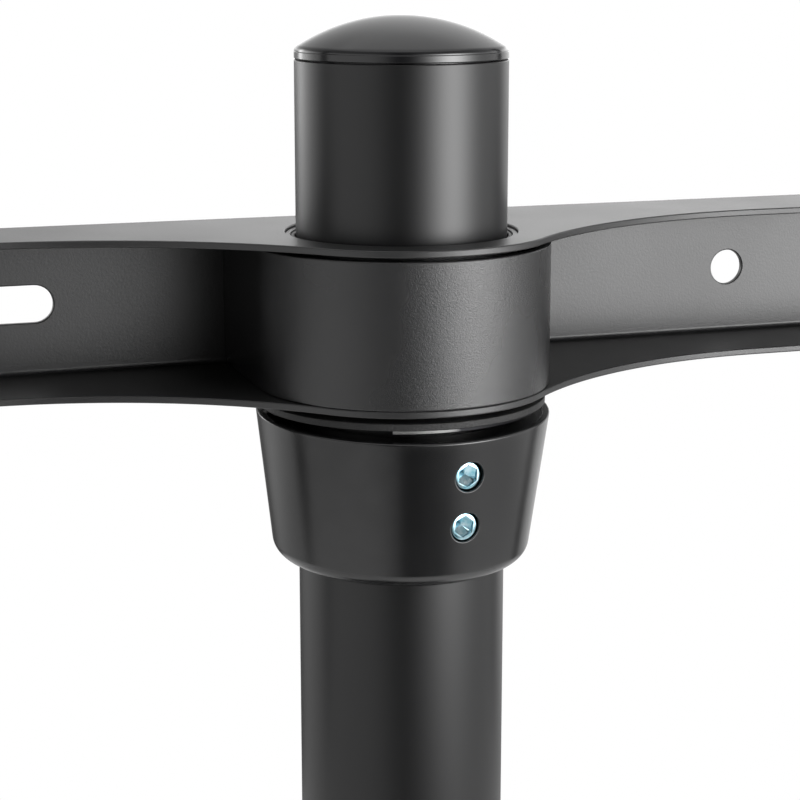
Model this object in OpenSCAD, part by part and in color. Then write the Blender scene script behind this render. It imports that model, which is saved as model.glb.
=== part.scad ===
// Floor stand for a television. A round pole stands on a steel base plate with levelling pads.
// A stop collar with two set screws is clamped to the pole, and a sheet-steel crossbar turns on it.
// Two rails that tilt on the crossbar carry the screen, on the +Y side. A shelf has its own collar.
// The pole's axis is the Z axis, and the pads stand on the plane through the origin.

/* [Pole] */
// Outer diameter of the pole tube
pole_d = 60; // [54:1:66]
// Wall of the pole tube
pole_wall = 2; // [1.5:0.5:4]
// Length of the pole tube above its foot plate
pole_len = 1190; // [1100:10:1400]
// Diameter of the foot plate welded under the pole
pole_plate_d = 150; // [140:5:160]
// Thickness of the foot plate
pole_plate_t = 8; // [6:1:10]
// Diameter of the bolt circle in the foot plate
pole_bolt_circle = 112; // [100:2:118]

/* [Cap] */
// Height of the cap's straight band above the pole's top edge
cap_band_h = 2.8; // [2:0.2:5]
// Rise of the cap's dome above its band
cap_rise = 9.6; // [6:0.2:14]
// Depth of the cap's plug inside the pole
cap_plug_h = 18; // [10:1:30]

/* [Base] */
// Width of the base plate, side to side
base_w = 700; // [660:10:900]
// Depth of the base plate, front to back
base_d = 500; // [500:10:600]
// Thickness of the base plate
base_t = 8; // [6:1:12]
// Corner radius of the base plate seen from above
base_corner_r = 70; // [30:5:100]
// Height of each pad under the base plate
foot_h = 12; // [11:1:18]
// Diameter of each pad
foot_d = 42; // [30:1:50]
// Distance of each pad's centre from the two edges beside it
foot_inset = 62; // [50:2:80]
// Diameter of the domed cover over the pole's foot
cover_d = 180; // [176:2:200]
// Height of the domed cover
cover_h = 36; // [32:1:50]

/* [Crossbar] */
// Length of the crossbar
bar_len = 700; // [690:5:760]
// Height of the crossbar over both flanges
bar_h = 45.5; // [42:0.5:56]
// Sheet thickness of the crossbar
bar_t = 2; // [1.5:0.5:3]
// Distance from the pole's top edge down to the crossbar's top face
bar_drop = 47.8; // [20:0.2:200]
// Distance from the pole's axis to the crossbar's back face
bar_back = 42.5; // [40:0.5:50]
// Distance from the pole's axis to the straight front edge of the arms
arm_edge = 9.5; // [5:0.5:14]
// Radius of the hollow curve between the crossbar's nose and each arm
wing_r = 120; // [100:5:150]
// Outer radius of the bend between the crossbar's web and its flanges
bend_r = 3.5; // [3:0.5:5]
// Outer radius of the sleeve and of the crossbar's nose around it
sleeve_r = 42.5; // [42:0.5:46]
// Sheet thickness of the sleeve
sleeve_t = 2.5; // [1.5:0.5:4]
// Gap between the sleeve's top edge and the top flange
sleeve_gap = 1; // [0.5:0.1:2]
// Distance from the pole's axis to the arm's hole, and on the other arm to its slot's middle
hole_x = 124.6; // [118:0.2:132]
// Diameter of the arm's hole and width of the slots
hole_d = 11; // [8.5:0.5:13]
// Length of the left arm's inner slot, end to end
slot_len = 63; // [40:1:72]

/* [Stop collar] */
// Outer diameter of the collar at its top edge
collar_top_d = 84.8; // [83.8:0.2:90]
// Outer diameter of the collar at its foot
collar_foot_d = 74; // [72:0.5:82]
// Height of the collar
collar_h = 43.4; // [38:0.2:50]
// Radius of the collar's rounded lower edge
collar_edge_r = 5; // [1:0.5:6]
// Angle by which the set screws cock the upper collar on the pole
collar_tilt = 2; // [0:0.5:2]
// Angle round the pole from straight behind it to the set screws
collar_turn = 8.5; // [-60:0.5:60]
// Distance from the collar's top face down to the first set screw
screw_drop = 10.5; // [9:0.5:13]
// Distance between the two set screws
screw_step = 15; // [11:0.5:18]
// Thread diameter of the set screws
screw_d = 8; // [6:1:10]

/* [Screen rails] */
// Distance between the two rails' middle lines
rail_spacing = 600; // [590:5:610]
// Length of each rail
rail_len = 450; // [450:5:520]
// Depth of each rail, from its screen face to its open edge
rail_depth = 37; // [34:1:38]
// Sheet thickness of the rails
rail_t = 2; // [1.5:0.5:3]
// Distance from the crossbar's back face to the tilt axis
tilt_reach = 30; // [26:1:34]
// Width of each hinge plate over its two ears
ear_w = 54; // [50:1:58]
// Sheet thickness of the hinge plates
ear_t = 3; // [2:0.5:4]
// Outer pitch of the screen's bolt holes, up and down
screen_pitch = 400; // [380:5:400]
// Diameter of the screen's bolt holes
screen_hole_d = 9; // [6:0.5:9.5]

/* [Shelf] */
// Height of the shelf's top face above the floor
shelf_z = 500; // [440:10:620]
// Width of the shelf panel
shelf_w = 460; // [400:10:600]
// Depth of the shelf panel
shelf_d = 205; // [190:5:210]
// Thickness of the shelf panel
shelf_t = 8; // [6:1:10]
// Corner radius of the shelf panel seen from above
shelf_corner_r = 18; // [5:1:30]
// Height of the shelf's arms where they meet the pole's sleeve
shelf_arm_h = 45; // [36:1:60]
// Height of the shelf's arms at their front ends
shelf_arm_tip = 18; // [12:1:30]

/* [Hidden] */
$fn = 96;

// Overrun of every cut past the face it leaves
cut = 1;
// Segments in each arc of an outline or a profile
arc_steps = 16;
// Play between a bolt and the hole it passes through, on the diameter
bolt_play = 0.8;
// Gap left between round faces that slide on each other, on the radius
slide_gap = 0.3;
// Gap left between pieces that are fixed together or rest on one another at an angle
seat_gap = 0.1;

// Hexagon's corner diameter as a share of its width across flats
hex_share = 1 / cos(30);

// Bolts: thread, head or nut across flats, head height, nut height, washer diameter
bolt_d = 8;
bolt_af = 13;
bolt_head_h = 5.3;
nut_h = 6.5;
washer_d = 16;
washer_t = 1.6;
// The smaller bolt that locks the tilt
lock_d = 6;
lock_af = 10;
lock_head_h = 4;
lock_nut_h = 5;

// Heights of the base and the pole
plate_top = foot_h + base_t;
pole_z = plate_top + pole_plate_t;
pole_top = pole_z + pole_len;
pole_r = pole_d / 2;
bolt_tail = 1.5;
stud_top_gap = 1.2;
stud_slot_w = 1.2;
stud_slot_h = 1.5;
foot_edge_r = 2;
weld_w = 4;
cover_wall = 2.5;
cover_neck_w = 4;
pole_edge_r = 0.8;

// The cap: its edge rounding, its plug's wall and the plug's play in the pole
cap_edge_r = 1.6;
cap_wall = 2.4;
cap_groove = 0.5;
cap_play = 0.2;

// Crossbar heights and the bearing tube inside it
bar_top = pole_top - bar_drop;
bar_z = bar_top - bar_h;
bar_mid = bar_z + bar_h / 2;
tube_over_pole = 3;
tube_r = pole_r + tube_over_pole;
tube_wall = 1.5;
tube_recess = 0.8;
tube_drop = 1.6;
bush_h = 14;
bush_recess = 0.4;
arm_end_r = 8;
outer_slot_len = 64;
mid_slot_len = 60;

// Centre of each wing's hollow curve, which touches the nose at an angle below the arm
wing_y = arm_edge - wing_r;
wing_x = sqrt(pow(sleeve_r + wing_r, 2) - pow(wing_y, 2));
wing_angle = atan2(-wing_y, wing_x);

// Collar, the washers on it, and its screws
washer_top_z = bar_z - tube_drop;
friction_t = 2;
friction_r = 41.4;
friction_bore_play = 1;
ring_t = 1.4;
ring_width = 6;
ring_open_angle = 62;
ring_turn = -21.9;
collar_r = collar_top_d / 2;
collar_foot_r = collar_foot_d / 2;
collar_rim_r = 0.6;
collar_recess = 1;
collar_recess_r = 40.4;
collar_bore_play = 1.2;
collar_chamfer = 0.8;
collar_bore_r = pole_r + collar_bore_play;
collar_shift = collar_h / 2 * sin(collar_tilt);
ring_r = collar_recess_r - collar_shift - slide_gap;
ring_z = washer_top_z - friction_t - ring_t;
collar_mid = ring_z - seat_gap + collar_recess - ring_r * sin(collar_tilt) - collar_h / 2;
collar_slope = (collar_r - collar_foot_r) / collar_h;
collar_angle = atan(collar_slope);
upper_screw_len = 10;
lower_screw_len = 8;
screw_tip_gap = 0.2;
screw_play = 0.3;
screw_socket_af = 4;
screw_socket_h = 4.5;
screw_chamfer = 0.6;

// Screen rails, their hinge plates and the tilt
tilt_y = bar_back + tilt_reach;
rail_face = 23.5;
rail_y = tilt_y + rail_face;
rail_play = 0.6;
rail_half = ear_w / 2 + rail_play + rail_t;
ear_r = 20;
ear_plate_w = 90;
ear_plate_h = 40;
ear_bolt_x = 16;
ear_bend_r = 4;
lock_drop = 14.2;
lock_slot_angle = 15;
rail_corner_r = 6;
rail_slot_len = 62;
// Places of the screen's holes and of the slots between them, as shares of half the outer pitch
screen_hole_shares = [0.5, 1];
rail_slot_shares = [0.25, 0.75];
pad_t = 2;
pad_h = 14;
pad_w = 44;
pad_corner_r = 4;
pad_inset = 2;

// Shelf carrier, from the panel down
shelf_pad_t = 3;
shelf_pad_d = 22;
shelf_bar_t = 3;
shelf_bar_w = 26;
shelf_bar_len = 320;
shelf_bar_corner_r = 10;
shelf_pad_inset = 20;
shelf_arm_t = 3;
shelf_arm_back = 20;
shelf_arm_knee = 36;
shelf_front_gap = 10;
shelf_rear_gap = 12;
shelf_y = pole_r + shelf_rear_gap;
shelf_bar_inset = 30;
shelf_turn = 0;
shelf_arm_top = shelf_z - shelf_t - shelf_pad_t - shelf_bar_t;
shelf_tube_z = shelf_arm_top - shelf_arm_h - tube_drop;
shelf_collar_mid = shelf_tube_z - friction_t - collar_h / 2;
shelf_rear_y = shelf_y + shelf_bar_inset;
shelf_front_y = shelf_y + shelf_d - shelf_bar_inset;

// Points of an arc round (x, y), from one angle to another
function arc(x, y, r, from, to) =
    [for (i = [0:arc_steps]) [x + r * cos(from + (to - from) * i / arc_steps),
                              y + r * sin(from + (to - from) * i / arc_steps)]];

// Points of an ellipse's quarter that starts at (x + a, y) and ends at (x, y + b), or back again
function quarter(x, y, a, b, from, to) =
    [for (i = [0:arc_steps]) [x + a * cos(from + (to - from) * i / arc_steps),
                              y + b * sin(from + (to - from) * i / arc_steps)]];

// Radius of the collar's outer face at a distance below its top face
function collar_face(drop) = collar_r - collar_slope * drop;

// Radius, in the collar's own tilted frame, at which a screw's tip stands just off the pole
function tip_radius(drop, tilt) =
    (pole_r + screw_tip_gap - (collar_h / 2 - drop) * sin(tilt)) / cos(tilt);

// A rectangle with round corners, centred on the axis
module round_rect(w, d, r) {
    square([w - 2 * r, d], center = true);
    square([w, d - 2 * r], center = true);
    for (x = [-1, 1])
        for (y = [-1, 1])
            translate([x * (w / 2 - r), y * (d / 2 - r)])
                circle(r);
}

module hex(af, h) {
    cylinder(d = af * hex_share, h = h, $fn = 6);
}

module ring(outer_r, inner_r, h) {
    difference() {
        cylinder(r = outer_r, h = h);
        translate([0, 0, -cut])
            cylinder(r = inner_r, h = h + 2 * cut);
    }
}

// A slot through a sheet that stands upright and faces Y, centred on the origin
module slot_cut(len, width, t) {
    for (x = [-1, 1])
        translate([x * (len - width) / 2, 0, 0])
            rotate([90, 0, 0])
                cylinder(d = width, h = t, center = true);
    cube([len - width, t, width], center = true);
}

// Base
module foot_places() {
    for (x = [-1, 1])
        for (y = [-1, 1])
            translate([x * (base_w / 2 - foot_inset), y * (base_d / 2 - foot_inset), 0])
                children();
}

module base_plate() {
    color("#1c1c1e")
    difference() {
        translate([0, 0, foot_h])
            linear_extrude(base_t)
                round_rect(base_w, base_d, base_corner_r);
        foot_places()
            translate([0, 0, foot_h - cut])
                cylinder(d = bolt_d + 2 * screw_play, h = base_t + 2 * cut);
        pole_bolt_places()
            translate([0, 0, foot_h - cut])
                cylinder(d = bolt_d + bolt_play, h = base_t + 2 * cut);
    }
}

// One pad with the threaded stud that raises it, slotted so it can be turned from above
module foot(x_side, y_side) {
    color("#151515")
    translate([x_side * (base_w / 2 - foot_inset), y_side * (base_d / 2 - foot_inset), 0])
        difference() {
            union() {
                rotate_extrude()
                    polygon(concat([[0, 0]],
                                   arc(foot_d / 2 - foot_edge_r, foot_edge_r, foot_edge_r, -90, 0),
                                   [[foot_d / 2 - foot_edge_r, foot_h], [0, foot_h]]));
                translate([0, 0, foot_h])
                    cylinder(d = bolt_d, h = base_t - stud_top_gap);
            }
            translate([0, 0, plate_top - stud_top_gap])
                cube([bolt_d + cut, stud_slot_w, 2 * stud_slot_h], center = true);
        }
}

module foot_front_left() { foot(-1, 1); }
module foot_front_right() { foot(1, 1); }
module foot_rear_left() { foot(-1, -1); }
module foot_rear_right() { foot(1, -1); }

// Pole
module pole_bolt_places() {
    for (a = [45:90:315])
        rotate([0, 0, a])
            translate([pole_bolt_circle / 2, 0, 0])
                children();
}

module pole_plate() {
    color("#1c1c1e")
    difference() {
        union() {
            translate([0, 0, plate_top])
                cylinder(d = pole_plate_d, h = pole_plate_t);
            translate([0, 0, pole_z])
                rotate_extrude()
                    polygon([[pole_r + seat_gap, 0], [pole_r + weld_w, 0], [pole_r + seat_gap, weld_w]]);
        }
        pole_bolt_places()
            translate([0, 0, plate_top - cut])
                cylinder(d = bolt_d + bolt_play, h = pole_plate_t + 2 * cut);
    }
}

module pole_bolts() {
    color("#8f9398")
    pole_bolt_places() {
        translate([0, 0, foot_h - nut_h - bolt_tail])
            cylinder(d = bolt_d, h = pole_z + washer_t - foot_h + nut_h + bolt_tail);
        translate([0, 0, pole_z + washer_t])
            hex(bolt_af, bolt_head_h);
    }
}

module pole_bolt_washers() {
    color("#9a9da1")
    pole_bolt_places()
        translate([0, 0, pole_z])
            ring(washer_d / 2, bolt_d / 2 + seat_gap, washer_t);
}

module pole_bolt_nuts() {
    color("#9a9da1")
    pole_bolt_places()
        translate([0, 0, foot_h - nut_h])
            difference() {
                hex(bolt_af, nut_h);
                translate([0, 0, -cut])
                    cylinder(r = bolt_d / 2 + seat_gap, h = nut_h + 2 * cut);
            }
}

// Domed cover that slides down the pole over the foot plate's bolts
module foot_cover() {
    neck_r = pole_r + slide_gap;
    crown_r = neck_r + cover_neck_w;
    dome_w = cover_d / 2 - crown_r;
    color("#222224")
    translate([0, 0, plate_top])
        rotate_extrude()
            polygon(concat(quarter(crown_r, 0, dome_w, cover_h, 0, 90),
                           [[neck_r, cover_h], [neck_r, cover_h - cover_wall]],
                           quarter(crown_r, 0, dome_w - cover_wall, cover_h - cover_wall, 90, 0)));
}

module pole() {
    color("#1f1f21")
    translate([0, 0, pole_z])
        rotate_extrude()
            polygon(concat([[pole_r - pole_wall, 0], [pole_r, 0]],
                           arc(pole_r - pole_edge_r, pole_len - pole_edge_r, pole_edge_r, 0, 90),
                           [[pole_r - pole_wall, pole_len]]));
}

// Dome over a straight band, joined by a rounded edge, with a hollow plug that stands on the pole
module pole_cap() {
    plug_r = pole_r - pole_wall - cap_play;
    dome_half = pole_r - cap_edge_r;
    dome_rise = cap_rise - cap_edge_r;
    inner_r = (pow(dome_half, 2) + pow(dome_rise, 2)) / (2 * dome_rise);
    dome_angle = asin(dome_half / inner_r);
    color("#262628")
    translate([0, 0, pole_top])
        rotate_extrude()
            polygon(concat([[plug_r, -cap_plug_h], [plug_r, cap_groove], [pole_r - cap_groove, cap_groove],
                            [pole_r, 2 * cap_groove]],
                           arc(dome_half, cap_band_h, cap_edge_r, 0, 90 - dome_angle),
                           arc(0, cap_band_h + dome_rise - inner_r, inner_r + cap_edge_r, 90 - dome_angle, 90),
                           [[0, cap_wall], [plug_r - cap_wall, cap_wall], [plug_r - cap_wall, -cap_plug_h]]));
}

// Collar, washers and screws. The collar's own frame has its middle at the origin, screws at -Y
module cocked() {
    translate([0, 0, collar_mid])
        rotate([0, 0, collar_turn])
            rotate([collar_tilt, 0, 0])
                children();
}

module collar(recess) {
    edge_z = -collar_h / 2 + collar_edge_r;
    edge_x = collar_face(collar_h / 2 - edge_z) - collar_edge_r / cos(collar_angle);
    rim_z = collar_h / 2 - collar_rim_r;
    rim_x = collar_face(collar_rim_r) - collar_rim_r / cos(collar_angle);
    difference() {
        rotate_extrude()
            polygon(concat([[collar_bore_r + collar_chamfer, -collar_h / 2]],
                           arc(edge_x, edge_z, collar_edge_r, -90, -collar_angle),
                           arc(rim_x, rim_z, collar_rim_r, -collar_angle, 90),
                           [[collar_recess_r, collar_h / 2], [collar_recess_r, collar_h / 2 - recess],
                            [collar_bore_r, collar_h / 2 - recess],
                            [collar_bore_r, -collar_h / 2 + collar_chamfer]]));
        for (i = [0, 1])
            translate([0, 0, collar_h / 2 - screw_drop - i * screw_step])
                rotate([90, 0, 0])
                    cylinder(d = screw_d + 2 * screw_play, h = collar_r + cut);
    }
}

// Set screw that points out along -Y from its tip, with a hexagon socket in its outer face
module set_screw(tip_r, drop, len) {
    translate([0, -tip_r, collar_h / 2 - drop])
        rotate([90, 0, 0])
            difference() {
                rotate_extrude()
                    polygon([[0, 0], [screw_d / 2 - screw_chamfer, 0], [screw_d / 2, screw_chamfer],
                             [screw_d / 2, len - screw_chamfer],
                             [screw_d / 2 - screw_chamfer, len], [0, len]]);
                translate([0, 0, len - screw_socket_h])
                    hex(screw_socket_af, screw_socket_h + cut);
            }
}

module stop_collar() {
    color("#232325")
    cocked()
        collar(collar_recess);
}

module friction_washer() {
    color("#191919")
    translate([0, 0, washer_top_z - friction_t])
        ring(friction_r, pole_r + friction_bore_play, friction_t);
}

// Bright C-shaped snap ring that lies in the collar's recess under the washer
module snap_ring() {
    color("#c9c9c6")
    translate([0, 0, ring_z])
        rotate([0, 0, ring_turn - 90])
            rotate_extrude(angle = 360 - ring_open_angle)
                translate([ring_r - ring_width, 0])
                    square([ring_width, ring_t]);
}

module set_screw_upper() {
    color("#b9c3c9")
    cocked()
        set_screw(tip_radius(screw_drop, collar_tilt), screw_drop, upper_screw_len);
}

module set_screw_lower() {
    color("#b9c3c9")
    cocked()
        set_screw(tip_radius(screw_drop + screw_step, collar_tilt), screw_drop + screw_step, lower_screw_len);
}

// Crossbar. Outline of a flange from above: nose, hollow wings and straight arms with round ends
module flange() {
    back = bar_back - bend_r;
    end_x = bar_len / 2 - arm_end_r;
    end_y = arm_edge + arm_end_r;
    linear_extrude(bar_t)
        difference() {
            polygon(concat(arc(0, 0, sleeve_r, -180 + wing_angle, -wing_angle),
                           arc(wing_x, wing_y, wing_r, 180 - wing_angle, 90),
                           arc(end_x, end_y, arm_end_r, -90, 0),
                           [[bar_len / 2, back], [-bar_len / 2, back]],
                           arc(-end_x, end_y, arm_end_r, -180, -90),
                           arc(-wing_x, wing_y, wing_r, 90, wing_angle)));
            circle(tube_r + seat_gap);
        }
}

// Quarter bend along the crossbar's whole length, for the upper or the lower corner
module bend(side) {
    translate([0, bar_back - bend_r, side > 0 ? bar_h - bend_r : bend_r])
        rotate([90, 0, 90])
            linear_extrude(bar_len, center = true)
                intersection() {
                    difference() {
                        circle(bend_r);
                        circle(bend_r - bar_t);
                    }
                    translate([0, side > 0 ? 0 : -bend_r])
                        square(bend_r);
                }
}

module crossbar() {
    outer_slot_x = rail_spacing / 2;
    mid_slot_x = (hole_x + outer_slot_x) / 2;
    color("#202022")
    translate([0, 0, bar_z])
        difference() {
            union() {
                flange();
                translate([0, 0, bar_h - bar_t])
                    flange();
                bend(1);
                bend(-1);
                translate([-bar_len / 2, bar_back - bar_t, bend_r])
                    cube([bar_len, bar_t, bar_h - 2 * bend_r]);
            }
            translate([0, bar_back - bar_t / 2, bar_h / 2]) {
                translate([-hole_x, 0, 0])
                    slot_cut(slot_len, hole_d, bar_t + cut);
                translate([hole_x, 0, 0])
                    rotate([90, 0, 0])
                        cylinder(d = hole_d, h = bar_t + cut, center = true);
                for (x = [-1, 1]) {
                    translate([x * outer_slot_x, 0, 0])
                        slot_cut(outer_slot_len, hole_d, bar_t + cut);
                    translate([x * mid_slot_x, 0, 0])
                        slot_cut(mid_slot_len, hole_d, bar_t + cut);
                }
            }
        }
}

// U-shaped sleeve, welded into the crossbar round the bearing tube and notched for the web's bends
module pole_sleeve() {
    notch = bend_r - bar_t + seat_gap;
    color("#232325")
    difference() {
        translate([0, 0, bar_z + bar_t])
            linear_extrude(bar_h - 2 * bar_t - sleeve_gap)
                difference() {
                    union() {
                        circle(sleeve_r);
                        translate([-sleeve_r, 0])
                            square([2 * sleeve_r, bar_back - bar_t]);
                    }
                    circle(sleeve_r - sleeve_t);
                    translate([-sleeve_r + sleeve_t, 0])
                        square([2 * (sleeve_r - sleeve_t), sleeve_r + cut]);
                }
        for (z = [bar_z + bar_t, bar_top - bar_t - notch])
            translate([-sleeve_r - cut, bar_back - bar_t - notch, z])
                cube([2 * (sleeve_r + cut), notch + cut, notch]);
    }
}

module bearing_tube() {
    color("#2a2a2c")
    translate([0, 0, bar_z - tube_drop])
        ring(tube_r, tube_r - tube_wall, bar_h - tube_recess + tube_drop);
}

module bush(z) {
    color("#171717")
    translate([0, 0, z])
        ring(tube_r - tube_wall - seat_gap, pole_r + slide_gap, bush_h);
}

module upper_bush() { bush(bar_top - tube_recess - bush_recess - bush_h); }
module lower_bush() { bush(bar_z - tube_drop + bush_recess); }

// Hinge plates on the crossbar's back, one for each rail
module rail_places(side) {
    translate([side * rail_spacing / 2, 0, bar_mid])
        children();
}

module ear_outline() {
    circle(ear_r);
    translate([-tilt_reach + ear_bend_r, -ear_r])
        square([tilt_reach - ear_bend_r, 2 * ear_r]);
}

module hinge_plate(side) {
    color("#242426")
    rail_places(side)
        difference() {
            union() {
                translate([-ear_plate_w / 2, bar_back, -ear_plate_h / 2])
                    cube([ear_plate_w, ear_t, ear_plate_h]);
                for (x = [-1, 1])
                    translate([x * (ear_w - ear_t) / 2, 0, 0]) {
                        translate([0, tilt_y, 0])
                            rotate([90, 0, 90])
                                linear_extrude(ear_t, center = true)
                                    ear_outline();
                        translate([-ear_t / 2, bar_back, -ear_r])
                            cube([ear_t, ear_bend_r, 2 * ear_r]);
                    }
            }
            for (x = [-1, 1])
                translate([x * ear_bolt_x, bar_back + ear_t / 2, 0])
                    rotate([90, 0, 0])
                        cylinder(d = bolt_d + bolt_play, h = ear_t + cut, center = true);
            translate([0, tilt_y, 0])
                rotate([0, 90, 0])
                    cylinder(d = bolt_d + bolt_play, h = ear_w + cut, center = true);
            translate([0, tilt_y, -lock_drop])
                rotate([0, 90, 0])
                    cylinder(d = lock_d + bolt_play, h = ear_w + cut, center = true);
        }
}

module hinge_plate_left() { hinge_plate(-1); }
module hinge_plate_right() { hinge_plate(1); }

module hinge_bolt_places() {
    for (side = [-1, 1])
        for (x = [-1, 1])
            rail_places(side)
                translate([x * ear_bolt_x, bar_back - bar_t, 0])
                    rotate([-90, 0, 0])
                        children();
}

module hinge_plate_bolts() {
    color("#8f9398")
    hinge_bolt_places() {
        translate([0, 0, -washer_t - bolt_head_h])
            hex(bolt_af, bolt_head_h);
        translate([0, 0, -washer_t])
            cylinder(d = bolt_d, h = washer_t + bar_t + ear_t + nut_h + bolt_tail);
    }
}

module hinge_plate_washers() {
    color("#9a9da1")
    hinge_bolt_places()
        translate([0, 0, -washer_t])
            ring(washer_d / 2, bolt_d / 2 + seat_gap, washer_t);
}

module hinge_plate_nuts() {
    color("#9a9da1")
    hinge_bolt_places()
        translate([0, 0, bar_t + ear_t])
            difference() {
                hex(bolt_af, nut_h);
                translate([0, 0, -cut])
                    cylinder(r = bolt_d / 2 + seat_gap, h = nut_h + 2 * cut);
            }
}

// A bolt across the rail, with its nut, at a height below the tilt axis
module cross_bolt(side, drop, d, af, head, nut) {
    across = 2 * rail_half;
    color("#8f9398")
    rail_places(side)
        translate([-side * rail_half, tilt_y, -drop])
            rotate([0, side * 90, 0]) {
                translate([0, 0, across + washer_t])
                    hex(af, head);
                translate([0, 0, across])
                    cylinder(d = washer_d * d / bolt_d, h = washer_t);
                translate([0, 0, -nut - bolt_tail])
                    cylinder(d = d, h = across + nut + bolt_tail);
                translate([0, 0, -nut])
                    hex(af, nut);
            }
}

module tilt_pivot_left() { cross_bolt(-1, 0, bolt_d, bolt_af, bolt_head_h, nut_h); }
module tilt_pivot_right() { cross_bolt(1, 0, bolt_d, bolt_af, bolt_head_h, nut_h); }
module tilt_lock_left() { cross_bolt(-1, lock_drop, lock_d, lock_af, lock_head_h, lock_nut_h); }
module tilt_lock_right() { cross_bolt(1, lock_drop, lock_d, lock_af, lock_head_h, lock_nut_h); }

// Rails that carry the screen, open towards the crossbar, with curved slots for the lock bolts
module lock_slot() {
    width = lock_d + bolt_play;
    rotate([0, 0, -90 - lock_slot_angle])
        rotate_extrude(angle = 2 * lock_slot_angle)
            translate([lock_drop - width / 2, -rail_half - cut])
                square([width, 2 * (rail_half + cut)]);
    for (a = [-lock_slot_angle, lock_slot_angle])
        rotate([0, 0, a])
            translate([0, -lock_drop, -rail_half - cut])
                cylinder(d = width, h = 2 * (rail_half + cut));
}

module screen_rail(side) {
    back = rail_y - rail_depth;
    color("#202022")
    rail_places(side)
        difference() {
            union() {
                translate([-rail_half, rail_y - rail_t, -rail_len / 2])
                    cube([2 * rail_half, rail_t, rail_len]);
                for (x = [0, 1])
                    mirror([x, 0, 0])
                        translate([rail_half - rail_t, 0, 0])
                            rotate([90, 0, 90])
                                linear_extrude(rail_t)
                                    translate([back + rail_depth / 2, 0])
                                        intersection() {
                                            round_rect(rail_depth, rail_len, rail_corner_r);
                                            translate([-rail_depth / 2, -rail_len / 2])
                                                square([rail_depth - rail_t, rail_len]);
                                        }
            }
            for (z = [-1, 1]) {
                for (share = screen_hole_shares)
                    translate([0, rail_y - rail_t / 2, z * share * screen_pitch / 2])
                        rotate([90, 0, 0])
                            cylinder(d = screen_hole_d, h = rail_t + cut, center = true);
                for (share = rail_slot_shares)
                    translate([0, rail_y - rail_t / 2, z * share * screen_pitch / 2])
                        rotate([0, 90, 0])
                            slot_cut(rail_slot_len, screen_hole_d, rail_t + cut);
            }
            translate([0, tilt_y, 0])
                rotate([0, 90, 0])
                    cylinder(d = bolt_d + bolt_play, h = 2 * (rail_half + cut), center = true);
            translate([0, tilt_y, 0])
                rotate([90, 0, 90])
                    lock_slot();
        }
}

module screen_rail_left() { screen_rail(-1); }
module screen_rail_right() { screen_rail(1); }

module rail_pads(side) {
    color("#111111")
    rail_places(side)
        for (z = [-1, 1])
            translate([0, rail_y, z * (rail_len / 2 - pad_inset - pad_h / 2)])
                rotate([-90, 0, 0])
                    linear_extrude(pad_t)
                        round_rect(pad_w, pad_h, pad_corner_r);
}

module rail_pads_left() { rail_pads(-1); }
module rail_pads_right() { rail_pads(1); }

// Shelf and its collar
module shelf_collar() {
    color("#232325")
    translate([0, 0, shelf_collar_mid])
        rotate([0, 0, shelf_turn])
            collar(0);
}

module shelf_washer() {
    color("#191919")
    translate([0, 0, shelf_tube_z - friction_t])
        ring(friction_r, pole_r + friction_bore_play, friction_t);
}

module shelf_screw(drop, len) {
    color("#b9c3c9")
    translate([0, 0, shelf_collar_mid])
        rotate([0, 0, shelf_turn])
            set_screw(tip_radius(drop, 0), drop, len);
}

module shelf_screw_upper() { shelf_screw(screw_drop, upper_screw_len); }
module shelf_screw_lower() { shelf_screw(screw_drop + screw_step, lower_screw_len); }

module shelf_sleeve() {
    color("#232325")
    translate([0, 0, shelf_tube_z])
        ring(tube_r, pole_r + slide_gap, shelf_arm_h + tube_drop);
}

module shelf_arm(side) {
    tip = shelf_y + shelf_d - shelf_front_gap;
    color("#202022")
    translate([side * (tube_r + shelf_arm_t / 2), 0, shelf_arm_top])
        rotate([90, 0, 90])
            linear_extrude(shelf_arm_t, center = true)
                polygon([[-shelf_arm_back, 0], [tip, 0], [tip, -shelf_arm_tip],
                         [shelf_arm_knee, -shelf_arm_h], [-shelf_arm_back, -shelf_arm_h]]);
}

module shelf_arm_left() { shelf_arm(-1); }
module shelf_arm_right() { shelf_arm(1); }

module shelf_bar(y) {
    color("#202022")
    translate([0, y, shelf_arm_top])
        linear_extrude(shelf_bar_t)
            round_rect(shelf_bar_len, shelf_bar_w, shelf_bar_corner_r);
}

module shelf_bar_rear() { shelf_bar(shelf_rear_y); }
module shelf_bar_front() { shelf_bar(shelf_front_y); }

module shelf_pads() {
    color("#111111")
    for (x = [-1, 1])
        for (y = [shelf_rear_y, shelf_front_y])
            translate([x * (shelf_bar_len / 2 - shelf_pad_inset), y, shelf_arm_top + shelf_bar_t])
                cylinder(d = shelf_pad_d, h = shelf_pad_t);
}

module shelf_panel() {
    color("#0d0e10")
    translate([0, shelf_y + shelf_d / 2, shelf_z - shelf_t])
        linear_extrude(shelf_t)
            round_rect(shelf_w, shelf_d, shelf_corner_r);
}

base_plate();
foot_front_left();
foot_front_right();
foot_rear_left();
foot_rear_right();
pole_plate();
pole_bolts();
pole_bolt_washers();
pole_bolt_nuts();
foot_cover();
pole();
pole_cap();
stop_collar();
friction_washer();
snap_ring();
set_screw_upper();
set_screw_lower();
crossbar();
pole_sleeve();
bearing_tube();
upper_bush();
lower_bush();
hinge_plate_left();
hinge_plate_right();
hinge_plate_bolts();
hinge_plate_washers();
hinge_plate_nuts();
tilt_pivot_left();
tilt_pivot_right();
tilt_lock_left();
tilt_lock_right();
screen_rail_left();
screen_rail_right();
rail_pads_left();
rail_pads_right();
shelf_collar();
shelf_washer();
shelf_screw_upper();
shelf_screw_lower();
shelf_sleeve();
shelf_arm_left();
shelf_arm_right();
shelf_bar_rear();
shelf_bar_front();
shelf_pads();
shelf_panel();
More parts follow.
